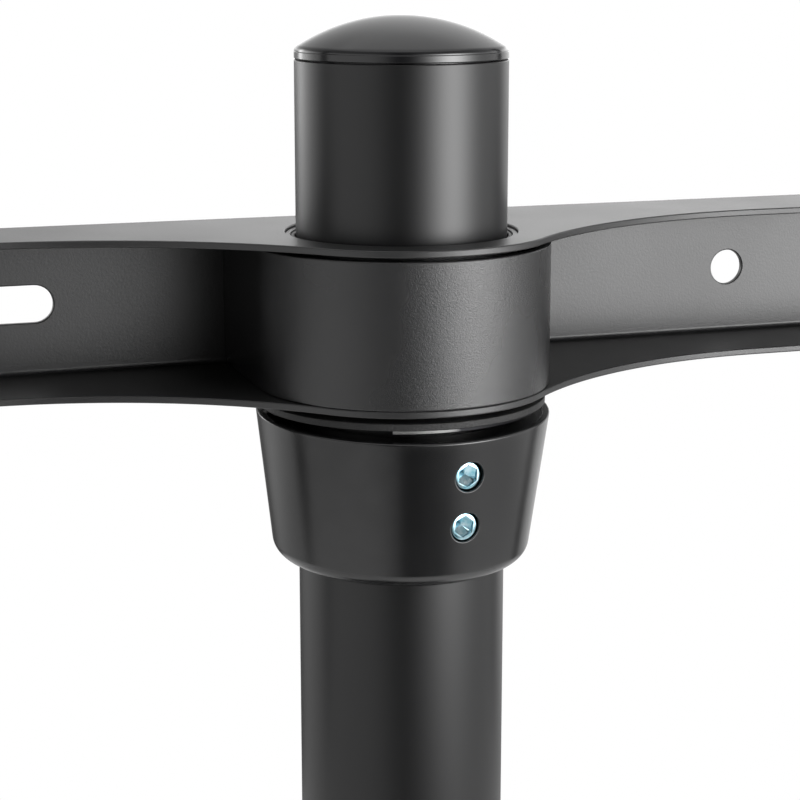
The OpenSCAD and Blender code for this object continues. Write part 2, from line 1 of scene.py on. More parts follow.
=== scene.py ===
# Floor stand for a television: the finish and the fine shapes of its pieces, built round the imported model.
# Sizes in the dictionaries of the pieces, and the camera's place, are millimetres and become metres when they are
# used. Finishes, floor, backdrop and lamps are in metres.
import bpy
import math
import numpy as np
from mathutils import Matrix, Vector
from mathutils.geometry import delaunay_2d_cdt


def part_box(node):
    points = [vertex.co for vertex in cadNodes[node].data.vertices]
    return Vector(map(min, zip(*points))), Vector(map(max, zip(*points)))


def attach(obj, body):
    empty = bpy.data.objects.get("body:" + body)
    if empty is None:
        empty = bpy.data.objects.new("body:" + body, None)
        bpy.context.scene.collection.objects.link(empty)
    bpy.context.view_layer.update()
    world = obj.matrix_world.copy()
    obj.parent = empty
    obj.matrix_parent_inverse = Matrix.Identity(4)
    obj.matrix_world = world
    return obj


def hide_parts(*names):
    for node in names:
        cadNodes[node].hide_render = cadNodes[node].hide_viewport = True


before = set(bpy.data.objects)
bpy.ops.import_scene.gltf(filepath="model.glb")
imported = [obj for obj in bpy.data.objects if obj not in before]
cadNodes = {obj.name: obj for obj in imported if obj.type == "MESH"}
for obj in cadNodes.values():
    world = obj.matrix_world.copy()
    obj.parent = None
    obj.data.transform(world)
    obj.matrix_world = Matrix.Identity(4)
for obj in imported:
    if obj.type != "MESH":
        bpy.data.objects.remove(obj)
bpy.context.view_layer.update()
mm = 0.001
dressedNodes = set()
print("frame loaded:", len(cadNodes), "nodes")

# Heights that several pieces share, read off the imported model
def nodeBox(name):
    low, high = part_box(name)
    return np.array(low) / mm, np.array(high) / mm


def lowHigh(name):
    # Only the two heights of a node's box
    return [corner[2] for corner in nodeBox(name)]


barZ, barTop = lowHigh("crossbar")
barMid = (barZ + barTop) / 2
poleFoot, poleTop = lowHigh("pole")
poleR = nodeBox("pole")[1][0]


# Curves in a plane. A curve is (points, normals, edge): normals point to the right of the way along it,
# and edge is 1 where the curve runs round a corner, so paint can look thinner there.
def arcRun(cx, cy, r, start, stop, steps=12, edge=0.0):
    # x = cx + r cos a, y = cy + r sin a; the right side is outwards when a grows, inwards when it falls
    a = np.radians(np.linspace(start, stop, steps + 1))
    way = np.column_stack([np.cos(a), np.sin(a)])
    return np.array([cx, cy]) + r * way, way * np.sign(stop - start), np.full(steps + 1, float(edge))


def roundRun(corners, steps=5, closed=True):
    # Straight runs with every corner (x, y, r) replaced by the arc of radius r that touches both runs.
    # The arc starts r tan(turn / 2) before the corner; r = 0 keeps the corner sharp with two normals.
    c = np.array(corners, float)
    n = len(c)
    points, normals, edge = [], [], []
    for i in range(n):
        here = c[i, :2]
        before = here - c[i - 1, :2]
        after = c[(i + 1) % n, :2] - here
        if not closed and i == 0:
            before = after
        if not closed and i == n - 1:
            after = before
        before = before / np.linalg.norm(before)
        after = after / np.linalg.norm(after)
        turn = math.atan2(before[0] * after[1] - before[1] * after[0], float(before @ after))
        right = np.array([before[1], -before[0]])
        r = c[i, 2]
        if r == 0 or abs(turn) < 1e-6:
            turned = np.array([[right[0], right[1]], [after[1], -after[0]]])
            points.append(np.array([here, here]))
            normals.append(turned)
            edge.append(np.zeros(2))
            continue
        a = np.linspace(0, turn, steps + 1)
        side = math.copysign(1, turn)
        turned = np.column_stack([right[0] * np.cos(a) - right[1] * np.sin(a),
                                  right[0] * np.sin(a) + right[1] * np.cos(a)])
        middle = here - before * r * math.tan(abs(turn) / 2) - side * r * right
        points.append(middle + side * r * turned)
        normals.append(turned)
        edge.append(np.full(steps + 1, 1.0 if side > 0 else 0.0))
    return np.concatenate(points), np.concatenate(normals), np.concatenate(edge)


def joinRuns(*runs):
    # One curve after the other
    return tuple(np.concatenate([run[i] for run in runs]) for i in range(3))


def cleanLoop(loop):
    # Drops a point that stands on the one before it
    points, normals, edge = loop
    keep = np.linalg.norm(points - np.roll(points, 1, 0), axis=1) > 1e-4
    return points[keep], normals[keep], edge[keep]


def circleLoop(x, y, r, steps=48):
    # A full arc without its last point, which is its first
    points, normals, edge = arcRun(x, y, r, 0, 360, steps)
    return points[:-1], normals[:-1], edge[:-1]


def slotLoop(x, y, length, width, steps=16):
    # Two half circles of the slot's width, their middles length - width apart
    reach, r = (length - width) / 2, width / 2
    return joinRuns(arcRun(x + reach, y, r, -90, 90, steps), arcRun(x - reach, y, r, 90, 270, steps))


def rectRun(width, height, corner, steps):
    # A rectangle round the middle, its corners rounded by roundRun's arcs
    w, h = width / 2, height / 2
    return roundRun([(-w, -h, corner), (w, -h, corner), (w, h, corner), (-w, h, corner)], steps)


def ellipseRun(x, y, a, b, start, stop, steps=32):
    # x = X + a cos t, y = Y + b sin t, normal along (cos t / a, sin t / b)
    t = np.radians(np.linspace(start, stop, steps + 1))
    normal = np.column_stack([np.cos(t) / a, np.sin(t) / b]) * np.sign(stop - start)
    normal = normal / np.linalg.norm(normal, axis=1, keepdims=True)
    return np.column_stack([x + a * np.cos(t), y + b * np.sin(t)]), normal, np.zeros(steps + 1)


def asHole(loop):
    # The same loop the other way round, so its normals point into the hole
    points, normals, edge = loop
    return points[::-1], -normals[::-1], edge[::-1]


# Surfaces. A part is (points, normals, edge, faces), with one row of points for each row of the grid.
def gridPart(points, normals, edge, wrapRows=False, wrapCols=False):
    # Faces join each point of the grid to the next one along both of its ways
    rows, cols = points.shape[:2]
    number = np.arange(rows * cols).reshape(rows, cols)
    i = np.arange(rows if wrapRows else rows - 1)[:, None]
    j = np.arange(cols if wrapCols else cols - 1)[None, :]
    faces = np.stack([number[i, j], number[(i + 1) % rows, j], number[(i + 1) % rows, (j + 1) % cols],
                      number[i, (j + 1) % cols]], -1).reshape(-1, 4)
    edge = np.broadcast_to(edge, (rows, cols))
    return points.reshape(-1, 3), normals.reshape(-1, 3), edge.reshape(-1), faces


def revolve(run, segments=96, start=0.0, sweep=360.0, closed=True):
    # The curve (r, z) turned round the Z axis: x = r cos a, y = r sin a
    points, normals, edge = run
    full = abs(sweep) >= 360
    a = np.radians(start + sweep * np.arange(segments + (0 if full else 1)) / segments)[:, None]

    def turned(v):
        # Each (r, z) at each angle of the turn
        return np.stack([v[:, 0] * np.cos(a), v[:, 0] * np.sin(a), np.broadcast_to(v[:, 1], (len(a), len(v)))], -1)

    return gridPart(turned(points), turned(normals), edge[None, :], wrapRows=full, wrapCols=closed)


def sideCaps(run, start, sweep):
    # Flat ends of a part turn: the curve's own outline as a fan, at the first and the last angle
    points = run[0]
    parts = []
    for angle, way in ((start, -1), (start + sweep, 1)):
        a = math.radians(angle)
        ends = np.column_stack([points[:, 0] * math.cos(a), points[:, 0] * math.sin(a), points[:, 1]])
        i = np.arange(1, len(points) - 1)
        faces = np.column_stack([0 * i, i, i + 1, i + 1])
        facing = np.tile([-math.sin(a) * way, math.cos(a) * way, 0], (len(points), 1))
        parts.append((ends, facing, np.zeros(len(points)), faces))
    return parts


def placed(part, matrix=None, shift=(0, 0, 0)):
    # Turned by the matrix, then moved: M p + shift
    points, normals, edge, faces = part
    matrix = np.eye(3) if matrix is None else matrix
    return points @ matrix.T + np.array(shift, float), normals @ matrix.T, edge, faces


def turnMatrix(axis, angle):
    # Right-handed turn round X, Y or Z
    a = math.radians(angle)
    i, j = {"x": (1, 2), "y": (2, 0), "z": (0, 1)}[axis]
    m = np.eye(3)
    m[i, i] = m[j, j] = math.cos(a)
    m[i, j], m[j, i] = -math.sin(a), math.sin(a)
    return m


def fillLoops(loops, inner=None, rows=()):
    # Constrained triangles between closed loops, the first outside and the rest holes. A triangle stays
    # where a ray from its middle crosses the loops an odd number of times.
    spots = np.concatenate(loops + ([] if inner is None else [inner]))
    edges, first = [], 0
    for loop in loops:
        number = np.arange(first, first + len(loop))
        edges += np.column_stack([number, np.roll(number, -1)]).tolist()
        first += len(loop)
    for row in rows:
        on = np.flatnonzero(np.abs(spots[:first, 1] - row) < 1e-6)
        on = on[np.argsort(spots[on, 0])]
        edges += on[:len(on) // 2 * 2].reshape(-1, 2).tolist()
    found, _, faces, origin, _, _ = delaunay_2d_cdt([Vector(p) for p in spots.tolist()], edges, [], 0, 1e-5)
    flat = np.array([spots[o[0]] if o else (p.x, p.y) for p, o in zip(found, origin)])
    triangles = np.array([f for f in faces if len(f) == 3])
    middle = flat[triangles].mean(1)
    inside = np.zeros(len(middle), bool)
    for loop in loops:
        a, b = loop, np.roll(loop, -1, 0)
        across = (a[:, 1] > middle[:, 1:2]) != (b[:, 1] > middle[:, 1:2])
        step = np.where(a[:, 1] == b[:, 1], 1.0, b[:, 1] - a[:, 1])
        hit = a[:, 0] + (middle[:, 1:2] - a[:, 1]) / step * (b[:, 0] - a[:, 0])
        inside ^= (np.sum(across & (middle[:, :1] < hit), 1) % 2).astype(bool)
    return flat, triangles[inside]


def splitLoop(loop, rows):
    # Adds a point wherever the loop crosses one of the rows on a straight run
    points, normals, edge = loop
    for row in rows:
        after = np.roll(points, -1, 0)
        low, high = np.minimum(points[:, 1], after[:, 1]), np.maximum(points[:, 1], after[:, 1])
        i = np.flatnonzero((low < row - 1e-6) & (high > row + 1e-6))
        t = ((row - points[i, 1]) / (after[i, 1] - points[i, 1]))[:, None]
        new = points[i] + t * (after[i] - points[i])
        new[:, 1] = row
        points = np.insert(points, i + 1, new, 0)
        normals = np.insert(normals, i + 1, normals[i], 0)
        edge = np.insert(edge, i + 1, edge[i])
    return points, normals, edge


def bentLine(s, way):
    # Middle line of a bent sheet at distance s: flats go straight on, and a bend of radius r turns by its
    # angle, position = centre + r (cos a, sin a). Returns position, tangent and left normal.
    s = np.asarray(s, float).ravel()
    place, tangent = np.zeros((len(s), 2)), np.zeros((len(s), 2))
    at, heading, here = way["from"], math.radians(way["heading"]), np.array(way["start"], float)
    for number, (kind, size, angle) in enumerate(way["parts"]):
        turn = math.radians(angle)
        length = size if kind == "flat" else size * abs(turn)
        on = (s >= at - 1e-7) if number else np.ones(len(s), bool)
        d = (s[on] - at)[:, None]
        ahead = np.array([math.cos(heading), math.sin(heading)])
        if kind == "flat":
            place[on] = here + d * ahead
            tangent[on] = ahead
            here = here + length * ahead
        else:
            sign = math.copysign(1, turn)
            middle = here + sign * size * np.array([-ahead[1], ahead[0]])
            a = heading + sign * np.minimum(d, length) / size
            place[on] = middle + sign * size * np.column_stack([np.sin(a), -np.cos(a)])
            tangent[on] = np.column_stack([np.cos(a), np.sin(a)])
            heading += turn
            here = middle + sign * size * np.array([math.sin(heading), -math.cos(heading)])
        at += length
    return place, tangent, np.column_stack([-tangent[:, 1], tangent[:, 0]])


def bendRows(way, steps):
    # The distances at which a bend's rows of points stand
    rows, at = [], way["from"]
    for kind, size, angle in way["parts"]:
        length = size if kind == "flat" else size * math.radians(abs(angle))
        if kind == "bend":
            rows += list(at + length * np.arange(steps + 1) / steps)
        at += length
    return rows


def channelWay(start, heading, flange, midR, angle, webHalf):
    # Flange, bend, web, bend, flange, with s = 0 at the middle of the web
    return {"from": -(webHalf + midR * math.pi / 2) - flange, "start": start, "heading": heading,
            "parts": [("flat", flange, 0), ("bend", midR, angle), ("flat", 2 * webHalf, 0), ("bend", midR, angle),
                      ("flat", flange, 0)]}


flatWay = {"from": 0.0, "start": (0, 0), "heading": 0, "parts": [("flat", 1.0, 0)]}
# A sheet's u, line and normal in the frame: lying flat, facing along Y, facing along X, folded round Z
flatAxes = ((1, 0, 0), (0, 1, 0), (0, 0, 1))
frontAxes = ((1, 0, 0), (0, 0, 1), (0, 1, 0))
sideAxes = ((0, 1, 0), (0, 0, 1), (1, 0, 0))
tallAxes = ((0, 0, 1), (1, 0, 0), (0, 1, 0))


def sheetSolid(outline, holes, thick, edge, way=flatWay, axes=flatAxes, origin=(0, 0, 0), bendSteps=6, edgeSteps=4):
    # A flat pattern (u, s) of a sheet. Round every loop runs a strip: quarter circle, wall, quarter circle.
    # Both faces are filled between the loops, and the whole is folded: position = origin + u U + line(s) + w N.
    axisU, axisP, axisQ = (np.array(a, float) for a in axes)
    rows = bendRows(way, bendSteps)

    def fold(u, s, w, nu, ns, nw):
        # Points at (u, s) and w off the sheet's middle, with normals (nu, ns, nw) in the pattern
        u, s, w, nu, ns, nw = (np.array(v, float) for v in np.broadcast_arrays(u, s, w, nu, ns, nw))
        place, tangent, left = bentLine(s, way)
        at = place + left * w.reshape(-1, 1)
        facing = tangent * ns.reshape(-1, 1) + left * nw.reshape(-1, 1)
        points = np.array(origin, float) + u.reshape(-1, 1) * axisU + at[:, :1] * axisP + at[:, 1:] * axisQ
        normals = nu.reshape(-1, 1) * axisU + facing[:, :1] * axisP + facing[:, 1:] * axisQ
        return points.reshape(u.shape + (3,)), normals.reshape(u.shape + (3,))

    half = thick / 2
    a = np.radians(np.linspace(0, 90, edgeSteps + 1))
    inset = np.concatenate([edge * (1 - np.sin(a)), edge * (1 - np.sin(a[::-1]))])
    height = np.concatenate([half - edge * (1 - np.cos(a)), -half + edge * (1 - np.cos(a[::-1]))])
    outward = np.concatenate([np.sin(a), np.sin(a[::-1])])
    upward = np.concatenate([np.cos(a), -np.cos(a[::-1])])
    worn = np.clip(1.2 - 2.4 * np.abs(outward - 0.7), 0, 1)
    parts, loops = [], []
    for loop in [outline] + [asHole(h) for h in holes]:
        points, normals, _ = splitLoop(cleanLoop(loop), rows)
        u = points[:, :1] - normals[:, :1] * inset
        s = points[:, 1:] - normals[:, 1:] * inset
        grid, facing = fold(u, s, height, normals[:, :1] * outward, normals[:, 1:] * outward, upward)
        parts.append(gridPart(grid, facing, worn[None, :], wrapRows=True))
        loops.append(np.column_stack([u[:, 0], s[:, 0]]))
    flat, triangles = fillLoops(loops, rows=rows)
    faces = triangles[:, [0, 1, 2, 2]]
    for side in (1, -1):
        points, normals = fold(flat[:, 0], flat[:, 1], side * half, 0, 0, side)
        parts.append((points, normals, np.zeros(len(flat)), faces))
    return parts


def tubeRun(outerR, innerR, low, high, edge):
    # A tube's section, the same round on its four corners
    return roundRun([(innerR, low, edge), (outerR, low, edge), (outerR, high, edge), (innerR, high, edge)])


def tube(outerR, innerR, low, high, edge, segments=128):
    # The section above, turned all the way round
    return revolve(tubeRun(outerR, innerR, low, high, edge), segments)


def fullTurn(count):
    # The angles of a whole turn, its end left out because it is its start
    return 2 * np.pi * np.arange(count) / count


def turnedRows(rows, count, closedRows=False):
    # Rows of (r, z), each a number or a value for every step of the turn: x = r cos a, y = r sin a
    a = fullTurn(count)
    radius, height = (np.array([np.zeros(count) + row[k] for row in rows]) for k in (0, 1))
    points = np.stack([radius * np.cos(a), radius * np.sin(a), height], -1)
    across = np.roll(points, -1, 1) - np.roll(points, 1, 1)
    facing = np.cross(across, np.gradient(points, axis=0))
    size = np.linalg.norm(facing, axis=2, keepdims=True)
    return gridPart(points, facing / np.maximum(size, 1e-12), np.zeros((1, 1)), wrapRows=closedRows, wrapCols=True)


def hexR(across, a):
    # A hexagon round the axis, r = (across / 2) / cos(a mod 60 - 30)
    return across / 2 / np.cos(a % (np.pi / 3) - np.pi / 6)


def threadRows(v, low, high, depth, steps, a):
    # Thread: r = R - 2 depth |(z / pitch - a / 360) mod 1 - 1/2|
    return [(v["r"] - depth * (np.abs((z / v["pitch"] - a / (2 * np.pi)) % 1 - 0.5) * 2), z)
            for z in np.arange(low, high, v["pitch"] / steps)]


weldStep = 0.000313                                 # points that round to the same multiple of it are one


# One mesh from parts: points that meet are welded, faces turn to their normals, corner normals are kept
def makeMesh(name, parts, sharpAngle=None):
    starts = np.cumsum([0] + [len(p[0]) for p in parts])
    points = np.concatenate([p[0] for p in parts])
    normals = np.concatenate([p[1] for p in parts])
    edge = np.concatenate([p[2] for p in parts])
    faces = np.concatenate([p[3] + start for p, start in zip(parts, starts)])
    a, b, c, d = (points[faces[:, k]] for k in range(4))
    facing = np.cross(c - a, d - b)
    flat = np.linalg.norm(facing, axis=1) < 1e-9
    facing[flat] = np.cross(b[flat] - a[flat], c[flat] - a[flat])
    away = np.einsum("ij,ij->i", facing, normals[faces].mean(1)) < 0
    faces[away] = faces[away][:, ::-1]
    spots = np.round(points / weldStep).astype(np.int64)
    _, first, number = np.unique(spots, axis=0, return_index=True, return_inverse=True)
    number = number.ravel()
    welded = number[faces]
    same = welded == np.roll(welded, -1, 1)
    across = (welded[:, 0] == welded[:, 2]) | (welded[:, 1] == welded[:, 3])
    four = (same.sum(1) == 0) & ~across
    three = (same.sum(1) == 1) & ~across
    keep = ~same[three]
    triangles = welded[three][keep].reshape(-1, 3)
    corners = np.concatenate([normals[faces[four]].reshape(-1, 3), normals[faces[three][keep]]])
    mesh = bpy.data.meshes.new(name)
    mesh.from_pydata((points[first] * mm).tolist(), [], welded[four].tolist() + triangles.tolist())
    mesh.update()
    mesh.shade_smooth()
    if sharpAngle is None:
        size = np.maximum(np.linalg.norm(corners, axis=1, keepdims=True), 1e-9)
        mesh.normals_split_custom_set((corners / size).tolist())
    else:
        mesh.set_sharp_from_angle(angle=math.radians(sharpAngle))
    worn = np.zeros(len(first))
    np.maximum.at(worn, number, edge)
    mesh.attributes.new("rounded", "FLOAT", "POINT").data.foreach_set("value", worn.astype(np.float32))
    return mesh


def linkObject(name, data):
    # A new object of the scene with that data
    piece = bpy.data.objects.new(name, data)
    bpy.context.scene.collection.objects.link(piece)
    return piece


def addPiece(name, parts, body, finish, nodes=(), sharpAngle=None):
    # One object at the origin, on its body, with its finish, in place of the imported nodes
    piece = linkObject(name, makeMesh(name, parts, sharpAngle))
    piece.data.materials.append(finishes[finish])
    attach(piece, body)
    if nodes:
        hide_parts(*nodes)
        dressedNodes.update(nodes)


# Shader groups that several finishes share
def newGroup(name, inputs, outputs):
    # An empty group with its sockets; only a number has a starting value
    group = bpy.data.node_groups.new(name, "ShaderNodeTree")
    for label, kind, value in inputs:
        socket = group.interface.new_socket(label, in_out="INPUT", socket_type=kind)
        if value is not None:
            socket.default_value = value
    for label, kind in outputs:
        group.interface.new_socket(label, in_out="OUTPUT", socket_type=kind)
    return group, group.nodes.new("NodeGroupInput"), group.nodes.new("NodeGroupOutput")


def addNode(tree, kind, **values):
    # Each value goes to the node's own setting of that name, or else to its input
    node = tree.nodes.new(kind)
    for key, value in values.items():
        if hasattr(node, key):
            setattr(node, key, value)
        else:
            node.inputs[key.replace("_", " ")].default_value = value
    return node


def addMath(tree, operation, a, b=None, c=None):
    # Each of a, b, c is a number or another node's output
    node = tree.nodes.new("ShaderNodeMath")
    node.operation = operation
    for socket, value in zip(node.inputs, (a, b, c)):
        if value is None:
            continue
        if isinstance(value, (int, float)):
            socket.default_value = value
        else:
            tree.links.new(value, socket)
    return node.outputs[0]


def addRange(tree, value, low, high, toLow=0.0, toHigh=1.0):
    # low to high becomes toLow to toHigh on a straight line, and stops at both ends
    node = tree.nodes.new("ShaderNodeMapRange")
    tree.links.new(value, node.inputs["Value"])
    for key, number in (("From Min", low), ("From Max", high), ("To Min", toLow), ("To Max", toHigh)):
        node.inputs[key].default_value = number
    return node.outputs["Result"]


# Powder grain: small soft bumps with a finer rough layer on them
grainGroup, start, end = newGroup("powderGrain", [("Place", "NodeSocketVector", None),
                                                  ("Size", "NodeSocketFloat", 900.0),
                                                  ("Fine share", "NodeSocketFloat", 0.4)],
                                  [("Height", "NodeSocketFloat"), ("Speck", "NodeSocketFloat")])
coarse = addNode(grainGroup, "ShaderNodeTexNoise", Detail=1.0, Roughness=0.5)
fine = addNode(grainGroup, "ShaderNodeTexNoise", Detail=2.0, Roughness=0.6)
for noise, share in ((coarse, 1.0), (fine, 2.7)):
    grainGroup.links.new(start.outputs["Place"], noise.inputs["Vector"])
    grainGroup.links.new(addMath(grainGroup, "MULTIPLY", start.outputs["Size"], share), noise.inputs["Scale"])
mixed = addMath(grainGroup, "MULTIPLY_ADD", fine.outputs["Fac"], start.outputs["Fine share"], coarse.outputs["Fac"])
grainGroup.links.new(mixed, end.inputs["Height"])
grainGroup.links.new(addRange(grainGroup, fine.outputs["Fac"], 0.42, 0.62), end.inputs["Speck"])

# Soft clouds, where a coat is a little thicker or duller
cloudGroup, start, end = newGroup("coatClouds", [("Place", "NodeSocketVector", None), ("Size", "NodeSocketFloat", 18.0),
                                                 ("Low", "NodeSocketFloat", 0.3), ("High", "NodeSocketFloat", 0.4)],
                                  [("Value", "NodeSocketFloat")])
cloud = addNode(cloudGroup, "ShaderNodeTexNoise", Detail=3.0, Roughness=0.55)
cloudGroup.links.new(start.outputs["Place"], cloud.inputs["Vector"])
cloudGroup.links.new(start.outputs["Size"], cloud.inputs["Scale"])
spread = addNode(cloudGroup, "ShaderNodeMapRange", From_Min=0.3, From_Max=0.7)
cloudGroup.links.new(cloud.outputs["Fac"], spread.inputs["Value"])
cloudGroup.links.new(start.outputs["Low"], spread.inputs["To Min"])
cloudGroup.links.new(start.outputs["High"], spread.inputs["To Max"])
cloudGroup.links.new(spread.outputs["Result"], end.inputs["Value"])

# Thin coat on rounded edges, broken up by noise
wearGroup, start, end = newGroup("edgeRub", [("Place", "NodeSocketVector", None), ("Amount", "NodeSocketFloat", 0.5)],
                                 [("Mask", "NodeSocketFloat")])
rounded = addNode(wearGroup, "ShaderNodeAttribute", attribute_name="rounded")
rub = addNode(wearGroup, "ShaderNodeTexNoise", Scale=160.0, Detail=3.0)
wearGroup.links.new(start.outputs["Place"], rub.inputs["Vector"])
broken = addRange(wearGroup, rub.outputs["Fac"], 0.35, 0.7)
wearGroup.links.new(addMath(wearGroup, "MULTIPLY", addMath(wearGroup, "MULTIPLY", rounded.outputs["Fac"], broken),
                            start.outputs["Amount"]), end.inputs["Mask"])

# A breath of dust on faces that look up
dustGroup, start, end = newGroup("dustFilm", [("Place", "NodeSocketVector", None), ("Amount", "NodeSocketFloat", 0.1)],
                                 [("Mask", "NodeSocketFloat")])
facing = dustGroup.nodes.new("ShaderNodeNewGeometry")
apart = dustGroup.nodes.new("ShaderNodeSeparateXYZ")
dustGroup.links.new(facing.outputs["Normal"], apart.inputs[0])
specks = addNode(dustGroup, "ShaderNodeTexNoise", Scale=260.0, Detail=4.0, Roughness=0.7)
dustGroup.links.new(start.outputs["Place"], specks.inputs["Vector"])
level = addMath(dustGroup, "MULTIPLY", addRange(dustGroup, apart.outputs["Z"], 0.6, 1.0),
                addRange(dustGroup, specks.outputs["Fac"], 0.3, 0.75))
dustGroup.links.new(addMath(dustGroup, "MULTIPLY", level, start.outputs["Amount"]), end.inputs["Mask"])
print("shader groups made")


dustFilm = {"tone": (0.35, 0.34, 0.33), "roughness": 0.5}


# A finish: Principled shader, base colour between two tones, roughness from clouds, grain as bump. What its
# dictionary leaves out isn't made, or keeps the usual value.
def makeFinish(name, v):
    grain, brushed, wear, fade = (v.get(key) for key in ("grain", "brushed", "wear", "fade"))
    material = bpy.data.materials.new(name)
    material.use_nodes = True
    tree = material.node_tree
    shader = tree.nodes["Principled BSDF"]
    shader.inputs["Metallic"].default_value = v.get("metallic", 0.0)
    shader.inputs["Specular IOR Level"].default_value = v.get("specular", 0.5)
    if "coat" in v:
        shader.inputs["Coat Weight"].default_value, shader.inputs["Coat Roughness"].default_value = v["coat"]
    place = tree.nodes.new("ShaderNodeTexCoord").outputs["Object"]

    def placeGroup(group, **values):
        # A shared group, fed with the piece's own coordinates
        node = tree.nodes.new("ShaderNodeGroup")
        node.node_tree = group
        tree.links.new(place, node.inputs["Place"])
        for key, value in values.items():
            node.inputs[key.replace("_", " ")].default_value = value
        return node

    def mixTones(mask, a, b):
        # a (1 - mask) + b mask
        node = addNode(tree, "ShaderNodeMix", data_type="RGBA")
        for socket, value in ((node.inputs["Factor"], mask), (node.inputs[6], a), (node.inputs[7], b)):
            if isinstance(value, tuple):
                socket.default_value = value + (1.0,)
            else:
                tree.links.new(value, socket)
        return node.outputs[2]

    cloudSize, (smooth, dull) = v.get("cloudSize", 18.0), v["roughness"]
    shade = placeGroup(cloudGroup, Size=cloudSize * 2.3, Low=0.0, High=1.0).outputs["Value"]
    colour = mixTones(shade, *v["tones"])
    rough = placeGroup(cloudGroup, Size=cloudSize, Low=smooth, High=dull).outputs["Value"]
    height = None
    if grain:
        bumps = placeGroup(grainGroup, Size=grain["size"], Fine_share=grain.get("fine", 0.4))
        height = bumps.outputs["Height"]
        if grain.get("speck"):
            colour = mixTones(addMath(tree, "MULTIPLY", bumps.outputs["Speck"], grain["speck"]), colour, grain["tone"])
    if brushed:
        # Long noise along the turning lines: distance from the axis is stretched, angle is not
        lathe = addNode(tree, "ShaderNodeVectorMath", operation="MULTIPLY")
        tree.links.new(place, lathe.inputs[0])
        lathe.inputs[1].default_value = brushed["stretch"]
        lines = addNode(tree, "ShaderNodeTexNoise", Scale=brushed["size"], Detail=3.0, Roughness=0.7)
        tree.links.new(lathe.outputs[0], lines.inputs["Vector"])
        height = lines.outputs["Fac"]
        uneven = addRange(tree, lines.outputs["Fac"], 0.3, 0.7, -brushed["spread"], brushed["spread"])
        rough = addMath(tree, "ADD", rough, uneven)
    if wear:
        rubbed = placeGroup(wearGroup, Amount=wear["amount"]).outputs["Mask"]
        colour = mixTones(rubbed, colour, wear["tone"])
        rough = addMath(tree, "MULTIPLY_ADD", rubbed, wear.get("smooth", -0.08), rough)
    if fade:
        # Painted shade: the colour turns to a darker tone with the distance from one point of the piece
        apart = addNode(tree, "ShaderNodeVectorMath", operation="DISTANCE")
        tree.links.new(place, apart.inputs[0])
        apart.inputs[1].default_value = fade["point"]
        colour = mixTones(addRange(tree, apart.outputs["Value"], *fade["reach"]), colour, fade["tone"])
    if "dust" in v:
        film = placeGroup(dustGroup, Amount=v["dust"]).outputs["Mask"]
        colour = mixTones(film, colour, dustFilm["tone"])
        rough = addMath(tree, "MULTIPLY_ADD", film, dustFilm["roughness"], rough)
    tree.links.new(colour, shader.inputs["Base Color"])
    tree.links.new(rough, shader.inputs["Roughness"])
    if height is not None:
        relief = grain or brushed
        bump = addNode(tree, "ShaderNodeBump", Strength=relief["strength"], Distance=relief["depth"])
        tree.links.new(height, bump.inputs["Height"])
        tree.links.new(bump.outputs["Normal"], shader.inputs["Normal"])
    return material


